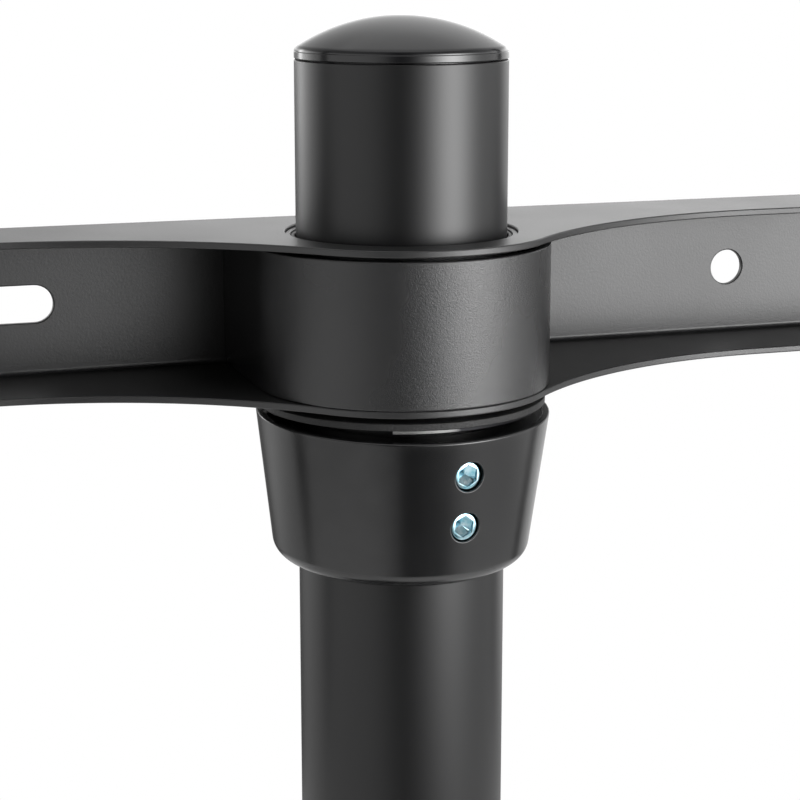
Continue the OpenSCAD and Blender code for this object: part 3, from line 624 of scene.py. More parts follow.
finishValues = {
    "powderCoat": {
        "slot": "powder_coat", "tones": ((0.0025, 0.0025, 0.0027), (0.0035, 0.0035, 0.0037)),
        "roughness": (0.40, 0.44),
        "specular": 0.74, "wear": {"amount": 0.15, "tone": (0.02, 0.02, 0.02), "smooth": 0.06},
        "grain": {"size": 1500.0, "strength": 0.25, "depth": 0.00012, "fine": 0.5, "speck": 0.10,
                  "tone": (0.03, 0.03, 0.03)}},
    "sleevePowder": {
        "slot": "powder_coat", "tones": ((0.003, 0.003, 0.0033), (0.0045, 0.0045, 0.0048)), "roughness": (0.25, 0.29),
        "specular": 0.68,
        "grain": {"size": 2500.0, "strength": 0.55, "depth": 0.00013, "fine": 0.8, "speck": 0.20,
                  "tone": (0.03, 0.03, 0.03)}},
    "polePaint": {
        "slot": "pole_paint", "tones": ((0.002, 0.002, 0.0022), (0.003, 0.003, 0.0032)), "roughness": (0.34, 0.37),
        "cloudSize": 9.0, "grain": {"size": 700.0, "strength": 0.05, "depth": 0.0001}, "dust": 0.006},
    "collarPaint": {
        "slot": "collar_paint", "tones": ((0.002, 0.002, 0.0022), (0.003, 0.003, 0.0032)), "roughness": (0.22, 0.26),
        "cloudSize": 25.0, "specular": 0.68, "grain": {"size": 900.0, "strength": 0.05, "depth": 0.0001},
        "wear": {"amount": 0.12, "tone": (0.04, 0.04, 0.04)}},
    "capPlastic": {
        "slot": "cap_plastic", "tones": ((0.004, 0.004, 0.0045), (0.006, 0.006, 0.0065)), "roughness": (0.16, 0.20),
        "cloudSize": 30.0, "specular": 0.6, "dust": 0.01,
        "grain": {"size": 2600.0, "strength": 0.05, "depth": 0.00006}},
    "washerPlastic": {
        "slot": "washer_plastic", "tones": ((0.006, 0.006, 0.006), (0.012, 0.012, 0.012)),
        "roughness": (0.45, 0.6),
        "cloudSize": 60.0, "specular": 0.3,
        "grain": {"size": 1300.0, "strength": 0.7, "depth": 0.0002, "fine": 0.7, "speck": 0.35,
                  "tone": (0.03, 0.03, 0.03)}},
    "ringSteel": {
        "slot": "ring_steel", "tones": ((0.50, 0.50, 0.49), (0.58, 0.58, 0.57)), "roughness": (0.28, 0.38),
        "metallic": 1.0, "cloudSize": 60.0,
        "brushed": {"stretch": (1, 1, 14), "size": 400.0, "strength": 0.2, "depth": 0.00005, "spread": 0.06},
        # Painted shade on the snap ring: its steel turns nearly black with the distance from one point
        "fade": {"point": (-0.01467, -0.0365, 1.1204), "reach": (0.003, 0.019), "tone": (0.012, 0.012, 0.013)}},
    "screwZinc": {
        "slot": "screw_zinc", "tones": ((0.18, 0.46, 0.56), (0.64, 0.80, 0.86)), "roughness": (0.12, 0.2),
        "metallic": 1.0, "cloudSize": 220.0, "grain": {"size": 900.0, "strength": 0.08, "depth": 0.0001}},
    "zincSteel": {
        "slot": "zinc_steel", "tones": ((0.55, 0.56, 0.57), (0.66, 0.66, 0.65)), "roughness": (0.24, 0.36),
        "metallic": 1.0, "cloudSize": 120.0, "grain": {"size": 1200.0, "strength": 0.12, "depth": 0.0001}},
    "footRubber": {
        "slot": "foot_rubber", "tones": ((0.012, 0.012, 0.012), (0.02, 0.02, 0.02)), "roughness": (0.6, 0.75),
        "cloudSize": 40.0, "grain": {"size": 1400.0, "strength": 0.35, "depth": 0.0002}, "dust": 0.05},
    "shelfGlass": {
        "slot": "shelf_glass", "tones": ((0.004, 0.0045, 0.005), (0.005, 0.0055, 0.006)), "roughness": (0.03, 0.06),
        "cloudSize": 6.0, "coat": (0.6, 0.02), "wear": {"amount": 0.5, "tone": (0.02, 0.05, 0.045), "smooth": 0.1},
        "dust": 0.012},
}
finishes = {name: makeFinish(name, values) for name, values in finishValues.items()}
print("finishes made:", len(finishes))

# Pole: a tube with a small round on its upper edge
pole = {"wall": 2.0, "edge": 0.35, "softEdge": 0.3, "segments": 192}
inner = poleR - pole["wall"]
run = roundRun([(inner, poleFoot, 0), (poleR, poleFoot, pole["softEdge"]), (poleR, poleTop, pole["edge"]),
                (inner, poleTop, pole["softEdge"])])
addPiece("poleTube", [revolve(run, pole["segments"])], "root", "polePaint", ["pole"])

# Cap: band, a fine crease over it, round shoulder, dome. The dome's arc meets the shoulder's arc without a corner.
cap = {"band": 2.2, "crease": 0.12, "rise": 10.0, "shoulder": 1.9, "groove": 0.30, "step": 0.25, "plug": 18.0,
       "wall": 2.4, "play": 0.2, "segments": 192}
plugR = inner - cap["play"]
plugIn, creaseR, shoulderR = plugR - cap["wall"], poleR - cap["crease"], poleR - cap["crease"] / 2
shoulderZ = cap["band"] + 2 * cap["crease"]
half = shoulderR - cap["shoulder"]
rise = cap["rise"] - cap["shoulder"]
domeR = (half ** 2 + rise ** 2) / (2 * rise)
domeAngle = math.degrees(math.asin(half / domeR))
band = roundRun([(plugR, -cap["plug"], 0), (plugR, cap["groove"], 0), (poleR - cap["step"], cap["groove"], 0),
                 (poleR, cap["groove"] + cap["step"], 0.1), (poleR, cap["band"], 0.03),
                 (creaseR, cap["band"] + cap["crease"], 0.02), (shoulderR, shoulderZ, 0)], closed=False)
inside = roundRun([(0, cap["wall"], 0), (plugIn, cap["wall"], 0), (plugIn, -cap["plug"], 0),
                   (plugR, -cap["plug"], 0)], closed=False)
run = joinRuns(band, arcRun(half, shoulderZ, cap["shoulder"], 0, 90 - domeAngle, 10, 1),
               arcRun(0, shoulderZ + rise - domeR, domeR + cap["shoulder"], 90 - domeAngle, 90, 24), inside)
addPiece("capDome", [placed(revolve(run, cap["segments"]), shift=(0, 0, poleTop))], "root", "capPlastic", ["pole_cap"])
print("pole and cap made")

# Crossbar: one sheet, folded into a channel. Pattern: u along the bar, s across it from the web's middle.
bar = {"length": 700.0, "sheet": 2.0, "bend": 3.5, "back": 42.5, "armEdge": 9.5, "wingR": 120.0, "noseR": 42.5,
       "boreR": 33.1, "endR": 8.0, "holeX": 124.6, "holeR": 5.5, "slotW": 11.0, "edge": 0.45,
       "slots": [(-124.6, 63.0), (-300.0, 64.0), (300.0, 64.0), (-212.3, 60.0), (212.3, 60.0)]}


def crossbarParts(b):
    # Each half of the outline runs round an arm's end, a wing and the nose, wing and nose touching where
    # their middles are noseR + wingR apart. The second half is the first one, turned round the middle.
    midR = b["bend"] - b["sheet"] / 2
    webHalf = (barTop - barZ) / 2 - b["bend"]
    fold = b["back"] - b["bend"]
    flangeStart = webHalf + midR * math.pi / 2
    axis = flangeStart + fold                       # the pole's axis in the pattern
    wingY = b["wingR"] - b["armEdge"]
    wingX = math.sqrt((b["noseR"] + b["wingR"]) ** 2 - wingY ** 2)
    angle = math.degrees(math.atan2(wingY, wingX))
    endX = b["length"] / 2 - b["endR"]
    endS = axis - b["armEdge"] - b["endR"]
    arcs = []
    for side, turn in ((1, 0), (-1, 180)):
        wingS = side * (axis + wingY)
        arcs += [arcRun(side * endX, side * endS, b["endR"], turn, turn + 90, 12),
                 arcRun(side * wingX, wingS, b["wingR"], turn - 90, turn - 180 + angle, 24),
                 arcRun(0, side * axis, b["noseR"], angle - turn, 180 - turn - angle, 64),
                 arcRun(-side * wingX, wingS, b["wingR"], turn - angle, turn - 90, 24),
                 arcRun(-side * endX, side * endS, b["endR"], turn + 90, turn + 180, 12)]
    holes = [circleLoop(0, s, b["boreR"], 160) for s in (axis, -axis)] + [circleLoop(b["holeX"], 0, b["holeR"])]
    holes += [slotLoop(x, 0, length, b["slotW"]) for x, length in b["slots"]]
    way = channelWay((-b["noseR"], -webHalf - midR), 0, fold + b["noseR"], midR, 90, webHalf)
    return sheetSolid(joinRuns(*arcs), holes, b["sheet"], b["edge"], way, origin=(0, 0, barMid))


addPiece("crossbarSheet", crossbarParts(bar), "bracket", "powderCoat", ["crossbar"])

# Sleeve: a strip bent to a U round the bearing tube, its four leg corners notched for the web's bends
sleeve = {"outerR": 42.5, "sheet": 2.5, "gap": 1.0, "edge": 0.5, "legEnd": 40.5, "notch": 1.6, "corner": 0.2}


def sleeveParts(v):
    # Pattern: u up the strip, s along it, from one leg's end round the U to the other's
    midR = v["outerR"] - v["sheet"] / 2
    half = v["legEnd"] + midR * math.pi / 2
    low, high = barZ + bar["sheet"], barTop - bar["sheet"] - v["gap"]
    legLow, legHigh, leg = low + v["notch"], barTop - bar["sheet"] - v["notch"], half - v["notch"]
    corners = [(legLow, -half), (legHigh, -half), (legHigh, -leg), (high, -leg), (high, leg), (legHigh, leg),
               (legHigh, half), (legLow, half), (legLow, leg), (low, leg), (low, -leg), (legLow, -leg)]
    outline = roundRun([(u, s, v["corner"]) for u, s in corners], 2)
    way = {"from": -half, "start": (-midR, v["legEnd"]), "heading": -90,
           "parts": [("flat", v["legEnd"], 0), ("bend", midR, 180), ("flat", v["legEnd"], 0)]}
    return sheetSolid(outline, [], v["sheet"], v["edge"], way, tallAxes, bendSteps=72)


addPiece("sleeveStrip", sleeveParts(sleeve), "bracket", "sleevePowder", ["pole_sleeve"])

# Bearing tube in the flanges, with the two bushes inside it
bearing = {"outerR": 33.0, "wall": 1.5, "edge": 0.35, "recess": 0.8, "drop": 1.6}
bush = {"length": 14.0, "sink": 0.4, "innerR": 30.3, "outerR": 31.4, "edge": 0.3}
tubeLow, tubeHigh = barZ - bearing["drop"], barTop - bearing["recess"]
parts = [tube(bearing["outerR"], bearing["outerR"] - bearing["wall"], tubeLow, tubeHigh, bearing["edge"])]
addPiece("bearingTube", parts, "bracket", "powderCoat", ["bearing_tube"])
for name, node, low in (("bushTop", "upper_bush", tubeHigh - bush["sink"] - bush["length"]),
                        ("bushFoot", "lower_bush", tubeLow + bush["sink"])):
    parts = [tube(bush["outerR"], bush["innerR"], low, low + bush["length"], bush["edge"])]
    addPiece(name, parts, "bracket", "washerPlastic", [node])
print("crossbar, sleeve and bearing made")

# Washer, and the snap ring under it with its opening
washer = {"outerR": 41.4, "innerR": 31.0, "thick": 2.0, "edge": 0.3}
parts = [tube(washer["outerR"], washer["innerR"], tubeLow - washer["thick"], tubeLow, washer["edge"])]
addPiece("washerRing", parts, "collar", "washerPlastic", ["friction_washer"])
snap = {"outerR": 39.343, "width": 6.0, "edge": 0.25, "turn": (-111.9, 298.0)}
run = tubeRun(snap["outerR"], snap["outerR"] - snap["width"], *lowHigh("snap_ring"), snap["edge"])
addPiece("snapRing", [revolve(run, 120, *snap["turn"])] + sideCaps(run, *snap["turn"]), "collar", "ringSteel",
         ["snap_ring"])

# Collar: a cone with a rounded foot and a sunk top, and two screw holes that face -Y in its own frame
collar = {"topR": 42.4, "footR": 37.0, "height": 43.4, "footEdge": 5.0, "rim": 0.6, "sinkR": 40.4, "boreR": 31.2,
          "soft": 0.25, "softFloor": 0.2, "softBore": 0.4, "chamfer": 0.8, "holeR": 4.3, "holeEdge": 0.35,
          "clear": 0.8, "drops": (10.5, 25.5), "window": 15, "segments": 192}


def holeWall(c, z, wallR, count=48):
    # One hole from the cone to the bore: points on a circle round the hole's axis, sunk to each wall's
    # radius, y = -sqrt(R^2 - x^2), with a quarter circle where the hole meets the cone
    t = fullTurn(count)[:, None]
    a = np.radians(np.linspace(0, 90, 5))
    ring = c["holeR"] + c["holeEdge"] * (1 - np.sin(a))
    depth = c["holeEdge"] * (1 - np.cos(a))
    x, up = ring * np.cos(t), ring * np.sin(t)
    cone = -np.sqrt(wallR(z + up) ** 2 - x ** 2)
    y = np.concatenate([cone + depth, -np.sqrt(c["boreR"] ** 2 - x[:, -1:] ** 2)], 1)
    x, up = (np.concatenate([v, v[:, -1:]], 1) for v in (x, up))
    lean = np.append(np.cos(a), 0)[:, None]
    points = np.stack([x, y, z + up], -1)
    outer = np.stack([x, cone[:, :1] + 0 * x, 0 * x], -1) / c["topR"]
    inward = np.stack([0 * x - np.cos(t), 0 * x, 0 * x - np.sin(t)], -1)
    edge = np.array([[0.2, 0.8, 1, 0.8, 0.2, 0]])
    wall = gridPart(points, outer * lean + inward * np.sqrt(1 - lean ** 2), edge, wrapRows=True)
    return wall, points[:, 0, ::2], points[:, -1, ::2]


def roundPatch(c, wallR, low, high, rims, facing, slope):
    # The window of a round wall that holds the holes, filled flat in (R angle, z) and wrapped back
    middle = wallR(np.array([(low + high) / 2]))[0]
    window = np.radians(360 / c["segments"] * np.arange(-c["window"], c["window"] + 1)) * middle
    loops = [np.concatenate([np.column_stack([window, np.full(len(window), low)]),
                             np.column_stack([window[::-1], np.full(len(window), high)])])]
    loops += [np.column_stack([np.arcsin(rim[:, 0] / wallR(rim[:, 1])) * middle, rim[:, 1]])[::-1] for rim in rims]
    u, s = np.meshgrid(window[1:-1], np.linspace(low, high, 18)[1:-1])
    inner = np.column_stack([u.ravel(), s.ravel()])
    for loop in loops[1:]:
        away = np.linalg.norm(inner - loop.mean(0), axis=1)
        inner = inner[away > c["holeR"] + c["holeEdge"] + c["clear"]]
    flat, triangles = fillLoops(loops, inner)
    angle = flat[:, 0] / middle
    out = np.column_stack([np.sin(angle), -np.cos(angle)])
    points = np.column_stack([wallR(flat[:, 1])[:, None] * out, flat[:, 1]])
    normals = np.column_stack([out * facing, np.full(len(flat), -slope)])
    return points, normals, np.zeros(len(flat)), triangles[:, [0, 1, 2, 2]]


def collarParts(c, sink):
    # Outside r = topR - slope (top - z), inside the bore, both with a window for the screw holes
    slope = (c["topR"] - c["footR"]) / c["height"]
    lean = math.degrees(math.atan(slope))
    top, foot, boreX = c["height"] / 2, -c["height"] / 2, c["boreR"]
    coneR = lambda z: c["topR"] - slope * (top - z)
    boreR = lambda z: np.full_like(z, boreX)
    footZ, rimZ = foot + c["footEdge"], top - c["rim"]
    footX, rimX = (coneR(z) - r / math.cos(math.radians(lean)) for z, r in ((footZ, c["footEdge"]), (rimZ, c["rim"])))
    lower = arcRun(footX, footZ, c["footEdge"], -90, -lean, 12, 0.5)
    upper = arcRun(rimX, rimZ, c["rim"], -lean, 90, 8, 1)
    floor = top - sink
    if sink:
        corners = [(c["sinkR"], top, c["soft"]), (c["sinkR"], floor, c["softFloor"]), (boreX, floor, c["soft"]),
                   (boreX, floor - 2 * c["soft"], 0)]
    else:
        corners = [(boreX, top, c["softBore"]), (boreX, top - 2 * c["softBore"], 0)]
    inside = roundRun([(rimX, top, 0)] + corners, 3, False)
    boreLow, boreHigh = foot + 2, corners[-1][1]
    under = roundRun([(boreX, boreLow, 0), (boreX, foot + c["chamfer"], c["softFloor"]),
                      (boreX + c["chamfer"], foot, c["softFloor"]), (footX, foot, 0)], 3, False)
    gap = 360 / c["segments"]
    start, sweep = -90 + c["window"] * gap, 360 - 2 * c["window"] * gap
    count = c["segments"] - 2 * c["window"]
    cone = (np.array([lower[0][-1], upper[0][0]]), np.array([lower[1][-1], upper[1][0]]), np.zeros(2))
    bore = (np.array([[boreX, boreHigh], [boreX, boreLow]]), np.array([[-1.0, 0], [-1.0, 0]]), np.zeros(2))
    parts = [revolve(joinRuns(*runs), c["segments"], -90, closed=False) for runs in ((upper, inside), (under, lower))]
    parts += [revolve(run, count, start, sweep, False) for run in (cone, bore)]
    walls, rims, feet = zip(*(holeWall(c, top - drop, coneR) for drop in c["drops"]))
    return parts + list(walls) + [roundPatch(c, coneR, lower[0][-1, 1], upper[0][0, 1], rims, 1, slope),
                                  roundPatch(c, boreR, boreLow, boreHigh, feet, -1, 0)]


screw = {"r": 4.0, "lengths": (10.0, 8.0), "chamfer": 0.3, "soft": 0.06, "socket": 5.3, "mouth": 0.15, "depth": 2.3,
         "bottom": 0.62, "tipGap": 0.2, "pitch": 1.25, "thread": 0.32, "cup": ((0, 0.6), (1.2, 0.6), (2.0, 0))}


def setScrewPart(v, length, turn, count=72):
    # Rows round the screw's own axis: cup point, thread, chamfer, face, then the hexagon socket down to a
    # bottom of three slanting facets, z = Z + bottom r max(cos(a - turn - 60 - 120 k))
    a = fullTurn(count)
    side = hexR(v["socket"], a - math.radians(turn))
    faceR = v["r"] - v["chamfer"]
    rows = [*v["cup"], (faceR - 0.2, 0)]
    rows += threadRows(v, v["chamfer"], length - v["chamfer"] + 0.01, v["thread"], 6, a)
    rows += [(v["r"] - v["soft"], length - v["chamfer"]), (faceR + v["soft"], length - v["soft"]),
             (faceR - v["soft"], length), (side + v["mouth"], length), (side, length - v["mouth"] * 0.7)]
    facets = v["bottom"] * np.maximum.reduce([np.cos(a - math.radians(turn + 60 + 120 * k)) for k in range(3)])
    rows += [(side * share, length - v["depth"] + side * share * facets) for share in (1.0, 0.5, 0.0)]
    return turnedRows(rows, count)


upright = turnMatrix("x", 90)                       # a screw's own Z turned to -Y, the photograph's side


def tipRadius(drop, tilt):
    # How far from the collar's axis a screw's tip is while tipGap lies between it and the pole
    lean = math.radians(tilt)
    return (poleR + screw["tipGap"] - (collar["height"] / 2 - drop) * math.sin(lean)) / math.cos(lean)


def addCollar(name, node, body, v, screws):
    # A collar with its two set screws, turned round Z and tilted round its own X
    matrix, middle = turnMatrix("z", v["turn"]) @ turnMatrix("x", v["tilt"]), (0, 0, v["middle"])
    parts = [placed(p, matrix, middle) for p in collarParts(collar, v["sink"])]
    addPiece(name, parts, body, "collarPaint", [node])
    for (label, screwNode, screwBody, turn), drop, length in zip(screws, collar["drops"], screw["lengths"]):
        seat = (0, -tipRadius(drop, v["tilt"]), collar["height"] / 2 - drop)
        part = placed(setScrewPart(screw, length, turn), upright, seat)
        addPiece(label, [placed(part, matrix, middle)], screwBody, "screwZinc", [screwNode], sharpAngle=28)


upperCollar = {"middle": 1097.527, "turn": 8.5, "tilt": 2.0, "sink": 1.0}
addCollar("collarUpper", "stop_collar", "collar", upperCollar,
          (("setScrewUpper", "set_screw_upper", "upper_screw", 90),
           ("setScrewLower", "set_screw_lower", "lower_screw", 83)))
shelfCollar = {"middle": sum(lowHigh("shelf_collar")) / 2, "turn": 0, "tilt": 0, "sink": 0}
addCollar("collarShelf", "shelf_collar", "shelf_stop", shelfCollar,
          (("shelfScrewUpper", "shelf_screw_upper", "shelf_upper_screw", 12),
           ("shelfScrewLower", "shelf_screw_lower", "shelf_lower_screw", 40)))
print("washer, ring, collars and set screws made")


# Bolts and nuts: the hexagon is cut by a cone at its ends, r = min(hexagon, cone)
hexEnd = {"narrow": 0.93, "drop": 0.028, "steps": 5}
boltForm = {"tip": 0.7, "lead": 0.6, "thread": 0.28, "runOut": 0.2, "dish": 0.3, "dishEdge": 0.5, "dishDepth": 0.25}
nutChamfer = 0.5


def hexRows(across, low, high, a, bothEnds=False):
    # Rows up one hexagon: the cone opens from the low face if both ends have one, and closes at the high face
    side, narrow, reach = hexR(across, a), across / 2 * hexEnd["narrow"], across / 2 / math.cos(math.pi / 6)
    steps = np.linspace(0, 1, hexEnd["steps"])
    ends = [(t, low + hexEnd["drop"] * across * t) for t in steps] if bothEnds else [(1.0, low)]
    ends += [(t, high - hexEnd["drop"] * across * t) for t in steps[::-1]]
    return [(np.minimum(side, narrow + (reach - narrow) * t), z) for t, z in ends]


def boltPart(v, low, threadEnd, under, count=48):
    # Along the bolt's own Z: threaded tail, shank, washer face, head with a shallow dish
    f, a, high = boltForm, fullTurn(count), under + v["head"]
    dish, floor = v["across"] * f["dish"], high - f["dishDepth"]
    rows = [(0, low), (v["r"] - f["tip"], low)] + threadRows(v, low + f["lead"], threadEnd, f["thread"], 5, a)
    rows += [(v["r"], threadEnd + f["runOut"]), (v["r"], under)] + hexRows(v["across"], under, high, a)
    return turnedRows(rows + [(dish + f["dishEdge"], high), (dish, floor), (0, floor)], count)


def nutPart(across, bore, low, high, count=48):
    # The cone cuts both ends, and the plain bore has a chamfer at each
    rows, wide = hexRows(across, low, high, fullTurn(count), bothEnds=True), bore + nutChamfer
    rows += [(wide, high), (bore, high - nutChamfer), (bore, low + nutChamfer), (wide, low)]
    return turnedRows(rows, count, closedRows=True)


railX = 300.0
tiltY = 72.5
turnPlay = 0.04                                     # by which washers and nuts stand off a rail that turns past them
bolts = {"m8": {"r": 4.0, "across": 13.0, "head": 5.3, "nut": 6.5, "washerR": 8.0, "washer": 1.6, "tail": 1.5,
                "pitch": 1.25},
         "m6": {"r": 3.0, "across": 10.0, "head": 4.0, "nut": 5.0, "washerR": 6.0, "washer": 1.6, "tail": 1.5,
                "pitch": 1.0}}
plate = {"width": 90.0, "height": 40.0, "thick": 3.0, "corner": 3.0, "boltX": 16.0, "earX": 25.5, "earR": 20.0,
         "earCorner": 0.4, "earGap": 1.0, "edge": 0.5, "pivotR": 4.4, "lockR": 3.4, "lockDrop": 14.2}
rail = {"half": 29.6, "face": 96.0, "depth": 37.0, "length": 450.0, "sheet": 2.0, "bend": 3.0, "corner": 6.0,
        "edge": 0.45, "holeR": 4.5, "holes": (-200.0, -100.0, 100.0, 200.0), "slots": (-150.0, -50.0, 50.0, 150.0),
        "slotLength": 62.0, "slotR": 14.2, "slotAngle": 15.0, "slotW": 6.8}

m8 = bolts["m8"]
sheets = bar["sheet"] + plate["thick"]
seats = [(side * railX + way * plate["boltX"], bar["back"] - bar["sheet"], barMid)
         for side in (-1, 1) for way in (-1, 1)]
for name, node, part in (
        ("hingeBolts", "hinge_plate_bolts", boltPart(m8, -sheets - m8["nut"] - m8["tail"], 0.1 - sheets, m8["washer"])),
        ("hingeWashers", "hinge_plate_washers", tube(m8["washerR"], m8["r"] + 0.1, 0, m8["washer"], 0.25, 48)),
        ("hingeNuts", "hinge_plate_nuts", nutPart(m8["across"], m8["r"] + 0.1, -sheets - m8["nut"], -sheets))):
    addPiece(name, [placed(part, upright, seat) for seat in seats], "bracket", "zincSteel", [node], sharpAngle=32)

weld = {"size": 2.0, "half": 17.0, "ripple": 2.2, "rise": 0.12, "hollow": 0.18, "taper": 1.2}


# Weld bead in an inner corner: a fan of points whose radius ripples along the seam
def weldBead(w, start, stop, toA, toB):
    # r = size (1 + rise |sin(pi t / ripple)|) (1 - hollow sin 2a), over the quarter turn a from toA to toB,
    # and less over the taper at both ends
    start, stop, toA, toB = (np.array(v, float) for v in (start, stop, toA, toB))
    length = np.linalg.norm(stop - start)
    t = np.linspace(0, length, max(int(length / w["ripple"] * 6), 8))
    taper = np.clip(np.minimum(t, length - t) / w["taper"] + 0.05, 0.05, 1) ** 0.5
    swell = w["size"] * (1 + w["rise"] * np.abs(np.sin(np.pi * t / w["ripple"]))) * taper
    a = np.linspace(0, np.pi / 2, 6)
    fan = np.cos(a)[:, None] * toA + np.sin(a)[:, None] * toB
    spine = (start + np.outer(t / length, stop - start))[:, None]
    points = spine + swell[:, None, None] * (1 - w["hollow"] * np.sin(2 * a))[None, :, None] * fan[None]
    points = np.concatenate([points, spine], 1)
    facing = np.broadcast_to(np.concatenate([fan, -(toA + toB)[None] / 1.414]), points.shape)
    along, i = (stop - start) / length, np.arange(1, 6)
    ends = [(points[row], np.tile(along * way, (7, 1)), np.zeros(7), np.column_stack([0 * i, i, i + 1, i + 1]))
            for row, way in ((0, -1), (-1, 1))]
    return [gridPart(points, facing, np.zeros((1, 1)), wrapCols=True)] + ends


def hingePlateParts(v, side):
    # A plate on the crossbar with two ears, each welded to it along both of its faces
    half, back = v["thick"] / 2, bar["back"]
    holes = [circleLoop(x, 0, v["pivotR"]) for x in (-v["boltX"], v["boltX"])]
    parts = sheetSolid(rectRun(v["width"], v["height"], v["corner"], 6), holes, v["thick"], v["edge"],
                       axes=frontAxes, origin=(side * railX, back + half, barMid))
    reach = tiltY - back - v["earGap"]
    ear = joinRuns(arcRun(0, 0, v["earR"], -90, 90, 32),
                   roundRun([(0, v["earR"], 0), (-reach, v["earR"], v["earCorner"]),
                             (-reach, -v["earR"], v["earCorner"]), (0, -v["earR"], 0)], 2, False))
    earHoles = [circleLoop(0, 0, v["pivotR"]), circleLoop(0, -v["lockDrop"], v["lockR"])]
    for x in (side * railX - v["earX"], side * railX + v["earX"]):
        parts += sheetSolid(ear, earHoles, v["thick"], v["edge"], axes=sideAxes, origin=(x, tiltY, barMid))
        for face in (-1, 1):
            low, high = ((x + face * half, back + v["thick"], barMid + z) for z in (-weld["half"], weld["half"]))
            parts += weldBead(weld, low, high, (face, 0, 0), (0, 1, 0))
    return parts


def railParts(v, side):
    # Pattern: u up the rail, s across it, with curved slots for the lock bolts round both pivots
    midR = v["bend"] - v["sheet"] / 2
    webHalf = v["half"] - v["bend"]
    flangeStart = webHalf + midR * math.pi / 2
    flange = v["depth"] - v["bend"]
    outline = rectRun(v["length"], 2 * (flangeStart + flange), v["corner"], 10)
    pivot = flangeStart + (v["face"] - v["bend"] - tiltY)
    holes = [circleLoop(z, 0, v["holeR"]) for z in v["holes"]]
    holes += [slotLoop(z, 0, v["slotLength"], 2 * v["holeR"]) for z in v["slots"]]
    w, r = v["slotW"] / 2, v["slotR"]
    low, high = 180 - v["slotAngle"], 180 + v["slotAngle"]
    for s in (-pivot, pivot):
        ends = [(r * math.cos(a), s + r * math.sin(a)) for a in (math.radians(high), math.radians(low))]
        holes += [circleLoop(0, s, plate["pivotR"]),
                  joinRuns(arcRun(0, s, r + w, low, high, 12), arcRun(*ends[0], w, high, high + 180, 12),
                           arcRun(0, s, r - w, high, low, 12), arcRun(*ends[1], w, low - 180, low, 12))]
    way = channelWay((-(v["half"] - v["sheet"] / 2), v["face"] - v["depth"]), 90, flange, midR, -90, webHalf)
    return sheetSolid(outline, holes, v["sheet"], v["edge"], way, tallAxes, (side * railX, 0, barMid))


across = 2 * rail["half"]
pad = {"width": 44.0, "height": 14.0, "thick": 2.0, "corner": 4.0, "edge": 0.7, "inset": 2.0}
for side, label in ((-1, "left"), (1, "right")):
    title, rider = label.capitalize(), "rail_" + label
    addPiece("hingePlate" + title, hingePlateParts(plate, side), "bracket", "powderCoat", ["hinge_plate_" + label])
    addPiece("screenRail" + title, railParts(rail, side), rider, "powderCoat", ["screen_rail_" + label])
    for name, size, drop in (("pivot", "m8", 0.0), ("lock", "m6", plate["lockDrop"])):
        b = bolts[size]
        parts = [boltPart(b, -b["nut"] - b["tail"], across - 8, across + b["washer"]),
                 tube(b["washerR"], b["r"], across + turnPlay, across + b["washer"], 0.25, 48),
                 nutPart(b["across"], b["r"], -b["nut"], -turnPlay)]
        seat = (side * (railX - rail["half"]), tiltY, barMid - drop)
        parts = [placed(p, turnMatrix("y", 90 * side), seat) for p in parts]
        addPiece("tilt" + name + title, parts, "bracket", "zincSteel", ["tilt_" + name + "_" + label], sharpAngle=32)
    parts = []
    for way in (-1, 1):
        z = barMid + way * (rail["length"] / 2 - pad["inset"] - pad["height"] / 2)
        parts += sheetSolid(rectRun(pad["width"], pad["height"], pad["corner"], 6), [], pad["thick"], pad["edge"],
                            axes=frontAxes, origin=(side * railX, rail["face"] + pad["thick"] / 2, z))
    addPiece("railPads" + title, parts, rider, "footRubber", ["rail_pads_" + label])
print("hinge plates, rails and their bolts made")

# Base: plate, four pads with slotted studs, and the domed cover over the pole's foot
base = {"width": 700.0, "depth": 500.0, "thick": 8.0, "corner": 70.0, "edge": 1.6, "low": 12.0, "footX": 288.0,
        "footY": 188.0, "studHoleR": 4.3, "boltHoleR": 4.4, "boltR": 56.0}
holes = [circleLoop(x, y, base["studHoleR"])
         for x in (-base["footX"], base["footX"]) for y in (-base["footY"], base["footY"])]
holes += [circleLoop(base["boltR"] * math.cos(a), base["boltR"] * math.sin(a), base["boltHoleR"])
          for a in np.radians([45, 135, 225, 315])]
parts = sheetSolid(rectRun(base["width"], base["depth"], base["corner"], 24), holes, base["thick"], base["edge"],
                   origin=(0, 0, base["low"] + base["thick"] / 2), edgeSteps=5)
addPiece("basePlate", parts, "root", "powderCoat", ["base_plate"])

foot = {"r": 21.0, "height": 12.0, "edge": 2.0, "studR": 4.0, "studTop": 18.8, "slot": 1.2, "slotDepth": 1.5,
        "groove": ((0, 4.5, 0.5), (1.2, 5.0, 0.4), (1.2, 6.2, 0.4), (0, 6.7, 0.5))}
groove = [(foot["r"] - depth, z, r) for depth, z, r in foot["groove"]]
padRun = roundRun([(0, 0, 0), (foot["r"], 0, foot["edge"])] + groove + [
    (foot["r"], foot["height"] - 2.0, 1.5), (foot["r"] - 2.5, foot["height"], 0.6), (0, foot["height"], 0)], 4)
slotFloor = foot["studTop"] - foot["slotDepth"]
studRun = roundRun([(0, foot["height"], 0), (foot["studR"], foot["height"], 0), (foot["studR"], slotFloor, 0),
                    (0, slotFloor, 0)], 2)
chord = math.degrees(math.asin(foot["slot"] / 2 / foot["studR"]))
cheek = arcRun(0, 0, foot["studR"], chord, 180 - chord, 20)
footBodies = {"foot_front_left": "foot_fl", "foot_front_right": "foot_fr", "foot_rear_left": "foot_rl",
              "foot_rear_right": "foot_rr"}
